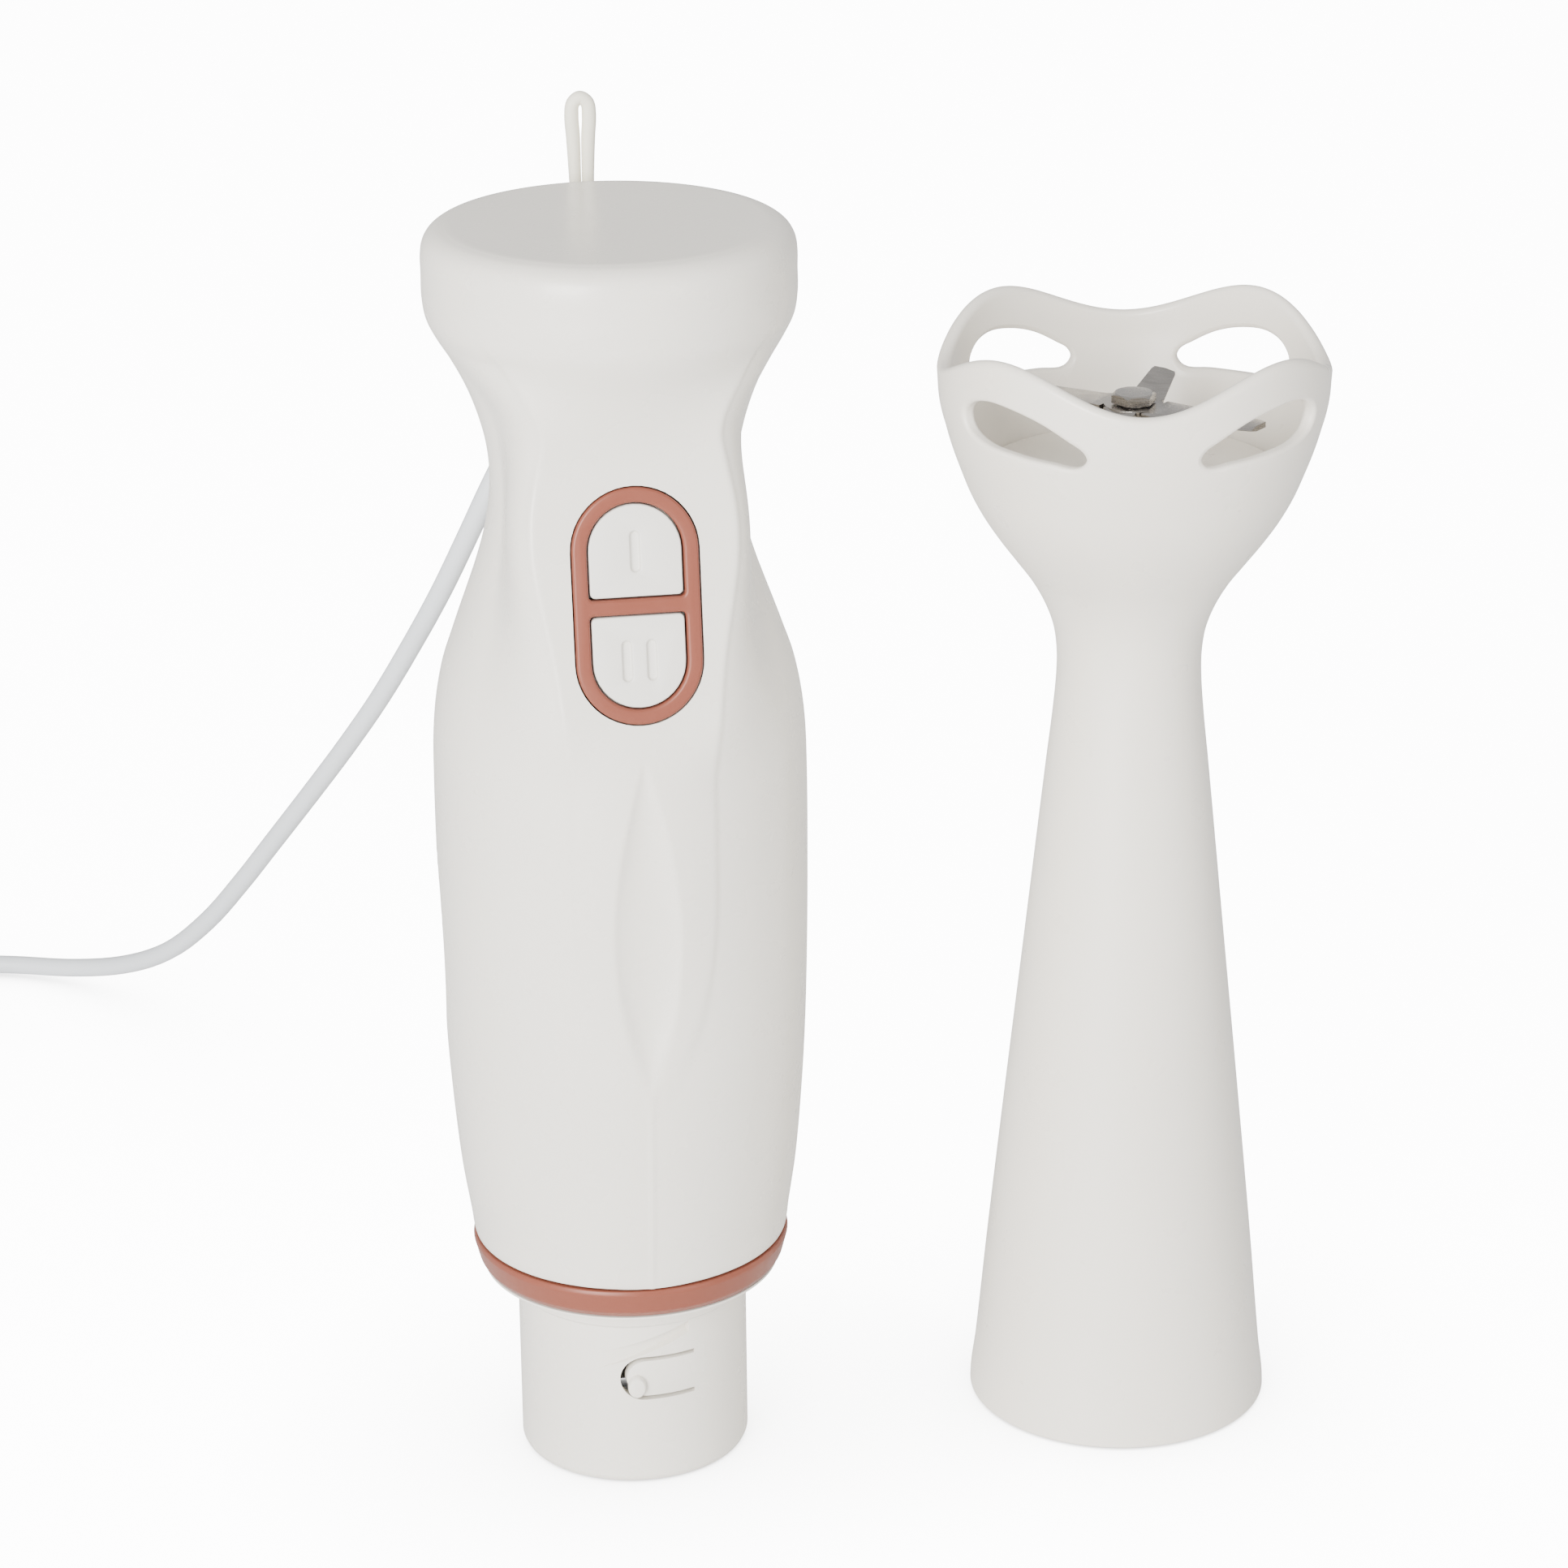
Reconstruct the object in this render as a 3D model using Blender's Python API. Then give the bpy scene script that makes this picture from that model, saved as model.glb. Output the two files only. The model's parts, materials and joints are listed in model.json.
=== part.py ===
"""Immersion blender, taken apart for storage.

The motor unit stands upright on its coupling spigot, front towards -Y.  The blending leg
stands mouth down beside it, blade guard up.  A mains cord leaves the back of the unit and
ends in a coil with a two-pin plug.  Lengths in the tables are millimetres, meshes are metres.
"""
import math

import bmesh
import bpy
from mathutils import Matrix, Vector

MM = 0.001
GAP = 0.3

# Driving dimensions ------------------------------------------------------------------
UNIT_AXIS = (-45.73, -2.0)
LEG_AXIS = (43.74, 0.0)
LEG_TURN = math.radians(-10)
HOUSING_WALL = 2.4
HOUSING_SIDES = 36
PART_SIDES = 20
SMALL_SIDES = 12

SHAFT_R = 2.5
SHAFT_BORE_R = SHAFT_R + GAP
SPIGOT_R = 20.27
SPIGOT_BORE_R = 18.07
SEAT_Z = 34.2
RAMP_Z, RAMP_RISE, RAMP_TALL = 23.1, 4.9, 1.9
RAMP_HALF_ANGLE = math.radians(26)
TRIM_BOTTOM, TRIM_TOP = 35.9, 41.4
PARTING_Y = 14.8
REAR_SHELL_TOP = 221.0

# Switch pad: a flat that leans back, described by its distance from the axis.
PAD_LOW_Z, PAD_LOW_REACH = 147.0, 29.86
PAD_LEAN = 0.18
PAD_HALF_ANGLE = math.radians(24)
BEZEL_Z = 166.0
BEZEL_W, BEZEL_H, BEZEL_BAND, BEZEL_BAR = 20.9, 39.3, 2.5, 2.6

# Latch tongue in the spigot wall, angles measured from the front towards +X.
LATCH_AZ = math.radians(5)
LATCH_Z = 20.5
LATCH_LEN, LATCH_TALL, LATCH_SLOT = 13.4, 8.4, 0.8
NUB_AZ, NUB_Z = math.radians(6), 19.2

# Blade guard of the leg.
RIM_Z, RIM_WAVE, RIM_WAVE_FROM = 197.55, 3.35, 184.0
BLADE_Z = 186.4
BLADE_AZ = math.radians(134.7)
HUB_R = 4.2

CORD_R = 2.0
COIL_AT = (-197.0, 201.0)
COIL_MEAN_R = 24.0
COIL_COLUMNS, COIL_LAYERS = 3, 2
COIL_BOTTOM = 0.8
CORD_ROUTE = [
    (-45.73, 51.62, 188.61), (-45.9, 54.5, 186.8), (-46.4, 57.0, 184.5), (-47.6, 59.4, 181.3),
    (-49.4, 61.3, 177.4), (-52.1, 63.2, 172.3), (-56.2, 65.8, 163.9), (-59.6, 68.6, 156.0),
    (-63.1, 73.4, 146.3), (-67.8, 82.2, 132.4), (-73.2, 94.5, 116.9), (-78.3, 105.5, 103.4),
    (-84.3, 118.6, 88.9), (-91.0, 133.1, 73.6), (-98.2, 148.8, 57.4), (-103.8, 160.9, 44.9),
    (-111.0, 176.5, 29.9), (-119.2, 192.6, 16.9), (-128.8, 207.8, 8.0), (-139.8, 219.2, 3.4),
    (-152.0, 226.0, 2.2), (-165.5, 228.7, 2.3), (-179.3, 229.0, 2.6),
]
TAIL_ROUTE = [
    (-225.2, 184.0, 6.8), (-225.6, 177.0, 5.9), (-225.3, 169.0, 5.5), (-224.4, 162.5, 6.3),
    (-224.0, 158.0, 6.9),
]
PLUG_AT = (-224.0, 157.6, 6.9)


# Materials ---------------------------------------------------------------------------
def material(name, color, roughness, metallic=0.0):
    mat = bpy.data.materials.new(name)
    mat.use_nodes = True
    shader = mat.node_tree.nodes["Principled BSDF"]
    shader.inputs["Base Color"].default_value = (*color, 1.0)
    shader.inputs["Roughness"].default_value = roughness
    shader.inputs["Metallic"].default_value = metallic
    mat.diffuse_color = (*color, 1.0)
    return mat


def make_materials():
    return {
        "white": material("white_gloss_plastic", (0.82, 0.81, 0.78), 0.28),
        "button": material("white_button_plastic", (0.80, 0.79, 0.75), 0.35),
        "copper": material("rose_gold_trim", (0.48, 0.20, 0.14), 0.35, 0.6),
        "leg": material("leg_plastic", (0.80, 0.77, 0.73), 0.35),
        "steel": material("stainless_steel", (0.55, 0.54, 0.52), 0.25, 1.0),
        "dark": material("dark_plastic", (0.05, 0.05, 0.05), 0.5),
        "rubber": material("grey_rubber", (0.30, 0.30, 0.30), 0.8),
        "loop": material("cream_rubber", (0.76, 0.73, 0.64), 0.55),
        "cord": material("cord_pvc", (0.76, 0.79, 0.81), 0.45),
        "board": material("circuit_board", (0.05, 0.20, 0.09), 0.5),
        "winding": material("copper_wire", (0.50, 0.20, 0.07), 0.35, 0.9),
        "iron": material("laminated_iron", (0.30, 0.30, 0.32), 0.45, 0.9),
        "bronze": material("sintered_bronze", (0.45, 0.30, 0.14), 0.5, 0.8),
        "magnet": material("ferrite", (0.07, 0.07, 0.08), 0.7),
        "carbon": material("carbon", (0.03, 0.03, 0.03), 0.7),
        "nickel": material("plug_pin_metal", (0.62, 0.60, 0.55), 0.3, 1.0),
    }


# Mesh helpers ------------------------------------------------------------------------
def even_angles(sides):
    return [2 * math.pi * i / sides for i in range(sides)]


def ring(radii, z, angles):
    """Points around the Z axis; one radius for all angles or one for each."""
    if isinstance(radii, (int, float)):
        if radii == 0:
            return [Vector((0, 0, z))]
        radii = [radii] * len(angles)
    return [Vector((r * math.cos(a), r * math.sin(a), z)) for r, a in zip(radii, angles)]


def toothed(count, root, tip, share=0.5, flank=0.06):
    """Angles and radii of a star or gear outline with count teeth."""
    pitch = 2 * math.pi / count
    angles, radii = [], []
    for i in range(count):
        half = pitch * share / 2
        steps = [(-half - flank, root), (-half, tip), (half, tip), (half + flank, root)]
        angles += [i * pitch + step for step, _ in steps]
        radii += [radius for _, radius in steps]
    return angles, radii


def skin(rings, closed=True):
    """Surface through rings of points; closed joins the last to the first, else both end."""
    bm = bmesh.new()
    loops = [[bm.verts.new(p * MM) for p in points] for points in rings]
    pairs = list(zip(loops, loops[1:] + loops[:1])) if closed else list(zip(loops, loops[1:]))
    for a, b in pairs:
        if len(a) == 1 and len(b) == 1:
            continue
        count = max(len(a), len(b))
        for i in range(count):
            j = (i + 1) % count
            corners = [a[i % len(a)], a[j % len(a)], b[j % len(b)], b[i % len(b)]]
            bm.faces.new(list(dict.fromkeys(corners)))
    if not closed:
        bm.faces.new(list(reversed(loops[0])))
        bm.faces.new(loops[-1])
    bmesh.ops.recalc_face_normals(bm, faces=bm.faces[:])
    return bm


def lathe(profile, sides=PART_SIDES):
    angles = even_angles(sides)
    return skin([ring(r, z, angles) for r, z in profile])


def tube(inner, outer, low, high, sides=PART_SIDES):
    return lathe([(inner, low), (outer, low), (outer, high), (inner, high)], sides)


def rod(radius, low, high, sides=PART_SIDES):
    return lathe([(0, low), (radius, low), (radius, high), (0, high)], sides)


def prism(outline, low, high):
    """Outline in X and Y, extruded along Z."""
    return skin([[Vector((x, y, z)) for x, y in outline] for z in (low, high)], closed=False)


def block(size, centre):
    bm = bmesh.new()
    bmesh.ops.create_cube(bm, size=1.0)
    bmesh.ops.scale(bm, vec=Vector(size) * MM, verts=bm.verts)
    bmesh.ops.translate(bm, vec=Vector(centre) * MM, verts=bm.verts)
    return bm


def arc_block(inner, outer, low, high, start, end, steps, rise=0.0, thin_start=None):
    """Part of a tube between two angles; rise lifts it, thin_start narrows where it begins."""
    sections = []
    for i in range(steps + 1):
        t = i / steps
        floor = inner if thin_start is None else thin_start + (inner - thin_start) * min(1, 2 * t)
        way = Vector((math.cos(start + (end - start) * t), math.sin(start + (end - start) * t), 0))
        lift = Vector((0, 0, rise * t))
        sections.append([way * r + Vector((0, 0, z)) + lift
                         for r, z in ((floor, low), (outer, low), (outer, high), (floor, high))])
    return skin(sections, closed=False)


def stadium(width, height, steps=8):
    """Upright slot outline, centred."""
    radius, straight = width / 2, (height - width) / 2
    top = [(radius * math.cos(math.pi * i / steps), straight + radius * math.sin(math.pi * i / steps))
           for i in range(steps + 1)]
    return top + [(-x, -y) for x, y in top]


def half_stadium(width, height, foot, steps=8):
    """Outline with a round top and a straight foot at y = foot."""
    radius = width / 2
    centre = foot + height - radius
    top = [(radius * math.cos(math.pi * i / steps), centre + radius * math.sin(math.pi * i / steps))
           for i in range(steps + 1)]
    return top + [(-radius, foot), (radius, foot)]


# Object helpers ----------------------------------------------------------------------
def place(name, bm, mat, at=(0, 0, 0), parent=None, origin=(0, 0, 0)):
    """Object at a place; origin is a point of the mesh that becomes the object's own origin."""
    bmesh.ops.translate(bm, vec=-Vector(origin) * MM, verts=bm.verts)
    mesh = bpy.data.meshes.new(name)
    bm.to_mesh(mesh)
    bm.free()
    mesh.shade_smooth()
    mesh.set_sharp_from_angle(angle=math.radians(35))
    if mat is not None:
        mesh.materials.append(mat)
    obj = bpy.data.objects.new(name, mesh)
    obj.location = (Vector(at) + Vector(origin)) * MM
    obj.parent = parent
    bpy.context.collection.objects.link(obj)
    return obj


def empty(name, at, turn=None):
    obj = bpy.data.objects.new(name, None)
    obj.matrix_world = Matrix.Translation(Vector(at) * MM) @ (turn or Matrix.Identity(4))
    bpy.context.collection.objects.link(obj)
    return obj


def combine(target, operation, bm, at=(0, 0, 0), parent=None):
    """Boolean with a hidden helper solid."""
    helper = place(target.name + "_tool", bm, None, at, parent)
    helper.hide_render = True
    helper.display_type = "WIRE"
    mod = target.modifiers.new(operation.lower(), "BOOLEAN")
    mod.operation = operation
    mod.solver = "EXACT"
    mod.object = helper


def cut(target, bm, at=(0, 0, 0), parent=None):
    combine(target, "DIFFERENCE", bm, at, parent)


def add(target, bm, at=(0, 0, 0), parent=None):
    combine(target, "UNION", bm, at, parent)


def turned_to(direction):
    """Rotation that sends +Z along a direction."""
    return Vector(direction).to_track_quat("Z", "Y").to_matrix().to_4x4()


UNIT = (*UNIT_AXIS, 0.0)
LEG = (*LEG_AXIS, 0.0)
FRONT = -math.pi / 2
PAD_NORMAL = Vector((0, -1, PAD_LEAN)).normalized()


def pad_reach(z):
    return PAD_LOW_REACH - PAD_LEAN * (z - PAD_LOW_Z)


def switch_frame():
    """Empty on the pad: X across, Y up the slope, Z out of the housing."""
    across = Vector((1, 0, 0))
    up = PAD_NORMAL.cross(across)
    turn = Matrix((across, up, PAD_NORMAL)).transposed().to_4x4()
    return empty("switch_pad", Vector(UNIT) + Vector((0, -pad_reach(BEZEL_Z), BEZEL_Z)), turn)


# Motor unit housing ------------------------------------------------------------------
HOUSING_OUTER = [
    (27.4, 41.7), (28.75, 50), (30.2, 64), (31.45, 85), (31.9, 118), (31.5, 137), (29.95, 147),
    (26.9, 156), (23.8, 165), (21.6, 173), (20.8, 181), (21.5, 188), (23.4, 194.5), (26.2, 201),
    (29.9, 207.6), (31.0, 213), (31.0, 220.4), (29.9, 222.7), (27.2, 223.7),
]
HOUSING_INNER = [
    (24.2, 41.7), (24.2, 46.5), (27.3, 60), (29.3, 100), (29.2, 135), (27.4, 147), (24.4, 156),
    (21.2, 165), (18.9, 174), (18.3, 181), (19.0, 188), (23.2, 200), (28.2, 211), (28.2, 219),
    (26.0, 221.3),
]
GLAND_POINT = (0, 27.3, 203.2)
GLAND_WAY = (0, 0.875, -0.485)
SCREW_X, SCREW_Z = 17.0, 132.0


def housing_ring(radius, z, depth=0.0):
    """Ring of the housing wall, pushed out to the flat switch pad at the front."""
    angles = even_angles(HOUSING_SIDES)
    radii = []
    for angle in angles:
        off_front = math.remainder(angle - FRONT, 2 * math.pi)
        flat = (pad_reach(z) - depth) / math.cos(off_front) if abs(off_front) < PAD_HALF_ANGLE else 0
        radii.append(max(radius, flat) if z > PAD_LOW_Z else radius)
    return ring(radii, z, angles)


def housing_wall():
    outer = [housing_ring(r, z) for r, z in HOUSING_OUTER] + [[Vector((0, 0, HOUSING_OUTER[-1][1]))]]
    inner = [housing_ring(r, z, HOUSING_WALL + 0.2) for r, z in HOUSING_INNER]
    inner.append([Vector((0, 0, HOUSING_INNER[-1][1]))])
    return skin(outer + inner[::-1])


def make_shells(mats, pad):
    rear_space = block((80, 40, REAR_SHELL_TOP - 40), (0, PARTING_Y + 20, (REAR_SHELL_TOP + 40) / 2))
    front = place("front_shell", housing_wall(), mats["white"], UNIT)
    cut(front, rear_space.copy(), UNIT)
    cut(front, prism(stadium(BEZEL_W + 2 * GAP, BEZEL_H + 2 * GAP), -11, 5), parent=pad)
    rear = place("rear_shell", housing_wall(), mats["white"], UNIT)
    bmesh.ops.translate(rear_space, vec=Vector((0, GAP, -GAP)) * MM, verts=rear_space.verts)
    combine(rear, "INTERSECT", rear_space, UNIT)
    gland = empty("gland", Vector(UNIT) + Vector(GLAND_POINT), turned_to(GLAND_WAY))
    cut(rear, rod(4.5, -9, 9), parent=gland)
    cut(rear, block((5.8, 12, 3.2), (0, 29, 211.9)), UNIT)
    clearance = [(0, 14), (1.5, 14), (1.5, 22), (2.6, 22), (2.6, 33), (0, 33)]
    for side in (-1, 1):
        add(front, block((13, 8.6, 7), (side * 20.5, 10.3, SCREW_Z)), UNIT)
        add(rear, block((7.5, 6.8, 7), (side * 17.75, 18.7, SCREW_Z)), UNIT)
        hole = empty("screw_hole", Vector(UNIT) + Vector((side * SCREW_X, 0, SCREW_Z)),
                     turned_to((0, 1, 0)))
        cut(front, rod(1.5, -2, 16, SMALL_SIDES), parent=hole)
        cut(rear, lathe(clearance, SMALL_SIDES), parent=hole)
    return gland


def make_housing_screws(mats):
    """Two cross-head screws that draw the rear shell onto the front one."""
    profile = [(0, 7), (1.2, 7), (1.2, 22.4), (2.2, 22.4), (2.2, 24.4), (0, 24.4)]
    for name, side in (("housing_screw_left", -1), ("housing_screw_right", 1)):
        screw = lathe(profile, SMALL_SIDES)
        bmesh.ops.transform(screw, matrix=turned_to((0, 1, 0)), verts=screw.verts)
        place(name, screw, mats["steel"], (UNIT[0] + side * SCREW_X, UNIT[1], SCREW_Z))


def make_trim_ring(mats):
    profile = [(24.2, TRIM_BOTTOM), (26.2, TRIM_BOTTOM), (26.6, 36.3), (27.55, 40.9), (27.2, TRIM_TOP),
               (24.2, TRIM_TOP)]
    place("trim_ring", lathe(profile, HOUSING_SIDES), mats["copper"], UNIT)


# Coupling spigot and its latch -------------------------------------------------------
def latch_outline(margin, root_margin):
    """Tongue outline: straight root at the right, round tip at the left."""
    radius = LATCH_TALL / 2 - margin
    root = LATCH_LEN / 2 - root_margin
    centre = -LATCH_LEN / 2 + LATCH_TALL / 2
    arc = [math.pi / 2 + math.pi * i / 8 for i in range(9)]
    tip = [(centre + radius * math.cos(a), radius * math.sin(a)) for a in arc]
    return tip + [(root, -radius), (root, radius)]


def latch_frame():
    """Empty on the spigot axis: X along the wall, Y up, Z out towards the latch."""
    out = Vector((math.sin(LATCH_AZ), -math.cos(LATCH_AZ), 0))
    up = Vector((0, 0, 1))
    turn = Matrix((up.cross(out), up, out)).transposed().to_4x4()
    return empty("latch_window", Vector(UNIT) + Vector((0, 0, LATCH_Z)), turn)


def make_spigot(mats, window):
    profile = [
        (SPIGOT_BORE_R, 0.4), (18.5, 0), (19.9, 0), (SPIGOT_R, 0.8), (SPIGOT_R, 30.6), (20.9, 31.2),
        (20.9, 32.6), (26.1, 35.3), (26.1, 35.6), (23.9, 35.6), (23.9, 45), (21.6, 45), (21.6, 34.5),
        (6.3, 34.5), (6.3, 30), (SPIGOT_BORE_R, 30),
    ]
    spigot = place("coupling_spigot", lathe(profile, HOUSING_SIDES), mats["white"], UNIT)
    cut(spigot, prism(latch_outline(0, 0), 15, 24), parent=window)
    for start in (FRONT, -FRONT):
        ramp = arc_block(19.1, 21.5, RAMP_Z, RAMP_Z + RAMP_TALL, start - RAMP_HALF_ANGLE,
                         start + RAMP_HALF_ANGLE, 8, rise=RAMP_RISE, thin_start=20.4)
        cut(spigot, ramp, UNIT)


def make_latch(mats, window):
    """Tongue that flexes inwards about its root; a round nub catches in the leg."""
    root_angle = FRONT + LATCH_AZ + math.asin(LATCH_LEN / 2 / 19.3)
    hinge = (19.3 * math.cos(root_angle), 19.3 * math.sin(root_angle), LATCH_Z)
    wall = tube(18.4, 20.2, 14, 27, 48)
    tongue = place("latch_tongue", wall, mats["white"], UNIT, origin=hinge)
    combine(tongue, "INTERSECT", prism(latch_outline(LATCH_SLOT, GAP), 15, 24), parent=window)
    nub = rod(1.6, 19.0, 21.6, 12)
    turn = Matrix.Rotation(-NUB_AZ, 4, "Z") @ turned_to((0, -1, 0))
    bmesh.ops.transform(nub, matrix=turn, verts=nub.verts)
    bmesh.ops.translate(nub, vec=(0, 0, NUB_Z * MM), verts=nub.verts)
    add(tongue, nub, UNIT)


# Switches ----------------------------------------------------------------------------
BUTTON_FOOT = BEZEL_BAR / 2 + GAP
BUTTON_W = BEZEL_W - 2 * BEZEL_BAND - 2 * GAP
BUTTON_H = (BEZEL_H - 2 * BEZEL_BAND - BEZEL_BAR) / 2 - 2 * GAP
STEM_Y = BUTTON_FOOT + BUTTON_H / 2


def make_bezel(mats, pad):
    bezel = place("switch_bezel", prism(stadium(BEZEL_W, BEZEL_H), -2.4, 0.5), mats["copper"],
                  parent=pad)
    window_w = BEZEL_W - 2 * BEZEL_BAND
    window_h = (BEZEL_H - 2 * BEZEL_BAND - BEZEL_BAR) / 2
    for turn in (1, -1):
        outline = [(x * turn, y * turn) for x, y in half_stadium(window_w, window_h, BEZEL_BAR / 2)]
        cut(bezel, prism(outline, -5, 3), parent=pad)


def make_button(name, turn, mats, pad):
    """Cap with a retaining flange behind the bezel and a stem into its microswitch."""
    cap = [(x * turn, y * turn) for x, y in half_stadium(BUTTON_W, BUTTON_H, BUTTON_FOOT)]
    flange = [(x * turn, y * turn)
              for x, y in half_stadium(BUTTON_W + 1.6, BUTTON_H + 1.0, BUTTON_FOOT - 0.2)]
    button = place(name, prism(cap, -3.2, 0.2), mats["button"], parent=pad)
    add(button, prism(flange, -3.7, -2.7), parent=pad)
    stem = rod(1.2, -8.5, -3.2, 12)
    bmesh.ops.translate(stem, vec=Vector((0, turn * STEM_Y, 0)) * MM, verts=stem.verts)
    add(button, stem, parent=pad)


def make_switches(mats, pad):
    place("switch_board", block((14, 34, 1.5), (0, 0, -12.3)), mats["board"], parent=pad)
    for name, turn in (("microswitch_low", 1), ("microswitch_high", -1)):
        body = place(name, block((6.4, 12.8, 4.9), (0, turn * STEM_Y, -8.75)), mats["dark"], parent=pad)
        bore = rod(1.6, -10.8, -5, 12)
        bmesh.ops.translate(bore, vec=Vector((0, turn * STEM_Y, 0)) * MM, verts=bore.verts)
        cut(body, bore, parent=pad)


# Motor -------------------------------------------------------------------------------
def make_motor(mats):
    bracket = place("motor_bracket", lathe([
        (4.3, 34.8), (21.3, 34.8), (21.3, 57.8), (19.3, 57.8), (19.3, 38), (4.3, 38)],
        24), mats["dark"], UNIT)
    cut(bracket, block((50, 9, 9), (0, 0, 47)), UNIT)
    cut(bracket, block((9, 50, 9), (0, 0, 47)), UNIT)
    place("lower_bush", tube(SHAFT_BORE_R, 4.0, 34.0, 39.0, SMALL_SIDES), mats["bronze"], UNIT)
    place("spigot_seal", tube(SHAFT_BORE_R, 6.0, 30.4, 33.6, SMALL_SIDES), mats["rubber"], UNIT)
    place("motor_can", lathe([(17, 58.3), (21, 58.3), (21, 110), (19.5, 110), (19.5, 59.8), (17, 59.8)],
                             24), mats["iron"], UNIT)
    for name, middle in (("motor_magnet_left", math.pi), ("motor_magnet_right", 0.0)):
        spread = math.radians(65)
        place(name, arc_block(16.9, 19.0, 64, 104, middle - spread, middle + spread, 8),
              mats["magnet"], UNIT)
    place("motor_end_bell", lathe([(4.3, 115), (17.5, 115), (17.5, 110.4), (20.8, 110.4), (20.8, 118.5),
                                   (4.3, 118.5)]), mats["dark"], UNIT)
    place("upper_bush", tube(SHAFT_BORE_R, 4.0, 114.6, 119.0, SMALL_SIDES), mats["bronze"], UNIT)
    for name, side in (("carbon_brush_left", -1), ("carbon_brush_right", 1)):
        place(name, block((9, 4, 4), (side * 11.6, 0, 110)), mats["carbon"], UNIT)
    place("vibration_ring", tube(15, 20.6, 118.8, 122.8), mats["rubber"], UNIT)


def make_armature(mats):
    place("motor_shaft", rod(SHAFT_R, 15.4, 121, SMALL_SIDES), mats["steel"], UNIT)
    for name, teeth, low, high, mat in (
            ("armature_core", (10, 9.0, 16.2, 0.62), 68, 98, "iron"),
            ("commutator", (10, 6.0, 6.5, 0.7), 105.6, 114.2, "winding"),
            ("drive_dog", (6, 4.4, 6.0, 0.4, 0.15), 15, 27, "dark")):
        angles, radii = toothed(*teeth)
        bm = skin([ring(SHAFT_BORE_R, low, angles), ring(radii, low, angles),
                   ring(radii, high, angles), ring(SHAFT_BORE_R, high, angles)])
        place(name, bm, mats[mat], UNIT)
    ends = [(3.4, 60.6), (12.0, 60.6), (14.6, 63.0), (14.6, 67.7), (3.4, 67.7)]
    place("armature_winding_low", lathe(ends), mats["winding"], UNIT)
    place("armature_winding_high", lathe([(r, 166 - z) for r, z in reversed(ends)]), mats["winding"],
          UNIT)
    angles, radii = toothed(8, 6.0, 17.6, 0.14, 0.05)
    vanes = skin([ring(SHAFT_BORE_R, 42.5, angles), ring(radii, 42.5, angles),
                  ring(radii, 51.2, angles), ring(SHAFT_BORE_R, 51.2, angles)])
    fan = place("cooling_fan", tube(SHAFT_BORE_R, 17.8, 50.6, 52.0), mats["dark"], UNIT)
    add(fan, vanes, UNIT)


def make_electrics(mats):
    place("filter_board", rod(16.0, 124.6, 126.2), mats["board"], UNIT)
    place("filter_capacitor", block((12, 7, 9), (-4, 6, 131.1)), mats["dark"], UNIT)
    place("rectifier", block((9, 4, 8), (4, -5, 130.6)), mats["dark"], UNIT)
    lead = [(0, 19.2, 197.0), (0, 15.5, 190.0), (0, 13.0, 180.0), (0, 12.5, 165.0), (0, 12.0, 150.0),
            (3.0, 10.0, 136.0), (6.0, 8.0, 127.9)]
    make_tube("internal_lead", smooth_route(lead, 6.0), 1.3, mats["dark"], UNIT)


# Cord and what is on it --------------------------------------------------------------
def smooth_route(points, spacing):
    """Evenly spaced points on a smooth curve through hand-set ones."""
    knots = [Vector(p) for p in points]
    knots = [2 * knots[0] - knots[1]] + knots + [2 * knots[-1] - knots[-2]]
    fine = []
    for a, b, c, d in zip(knots, knots[1:], knots[2:], knots[3:]):
        for i in range(24):
            t = i / 24
            fine.append(0.5 * (2 * b + (c - a) * t + (2 * a - 5 * b + 4 * c - d) * t * t
                               + (3 * b - a - 3 * c + d) * t ** 3))
    fine.append(knots[-2])
    total = sum((q - p).length for p, q in zip(fine, fine[1:]))
    step = total / round(total / spacing)
    route, walked = [fine[0]], 0.0
    for p, q in zip(fine, fine[1:]):
        walked += (q - p).length
        if walked >= step:
            route.append(q)
            walked -= step
    if (route[-1] - fine[-1]).length < step / 2:
        route.pop()
    return route + [fine[-1]]


def make_tube(name, points, radius, mat, at=(0, 0, 0)):
    curve = bpy.data.curves.new(name, "CURVE")
    curve.dimensions = "3D"
    curve.bevel_depth = radius * MM
    curve.bevel_resolution = 2
    curve.use_fill_caps = True
    spline = curve.splines.new("POLY")
    spline.points.add(len(points) - 1)
    for knot, point in zip(spline.points, points):
        knot.co = (*(point * MM), 1.0)
    curve.materials.append(mat)
    obj = bpy.data.objects.new(name, curve)
    obj.location = Vector(at) * MM
    bpy.context.collection.objects.link(obj)


def make_strain_relief(mats, gland):
    profile = [(0, -6.5), (5.3, -6.5), (5.3, -4.6), (4.1, -4.6), (4.1, 1.0), (4.4, 1.2), (4.3, 3.0),
               (2.9, 29.0), (2.5, 29.6), (0, 29.6)]
    place("strain_relief", lathe(profile, 16), mats["cord"], parent=gland)


def make_clamp(mats):
    clamp = place("cord_clamp", block((13, 3.5, 7), (0, 16.0, 204.0)), mats["dark"], UNIT)
    cut(clamp, block((5, 6, 3.2), (0, 16, 204.0)), UNIT)


def make_loop(mats):
    """Moulded rubber hanging loop: a hairpin that stands up behind the top."""
    side = [(1.3, 24.5, 211.9), (1.3, 31.0, 212.1), (1.3, 33.6, 213.9), (1.3, 34.5, 217.5),
            (1.35, 34.7, 223.0), (1.5, 34.6, 229.5), (1.65, 34.5, 233.6), (1.2, 34.4, 235.7)]
    path = side + [(0, 34.4, 236.4)] + [(-x, y, z) for x, y, z in reversed(side)]
    make_tube("hanging_loop", smooth_route(path, 2.6), 1.15, mats["loop"], UNIT)


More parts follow.
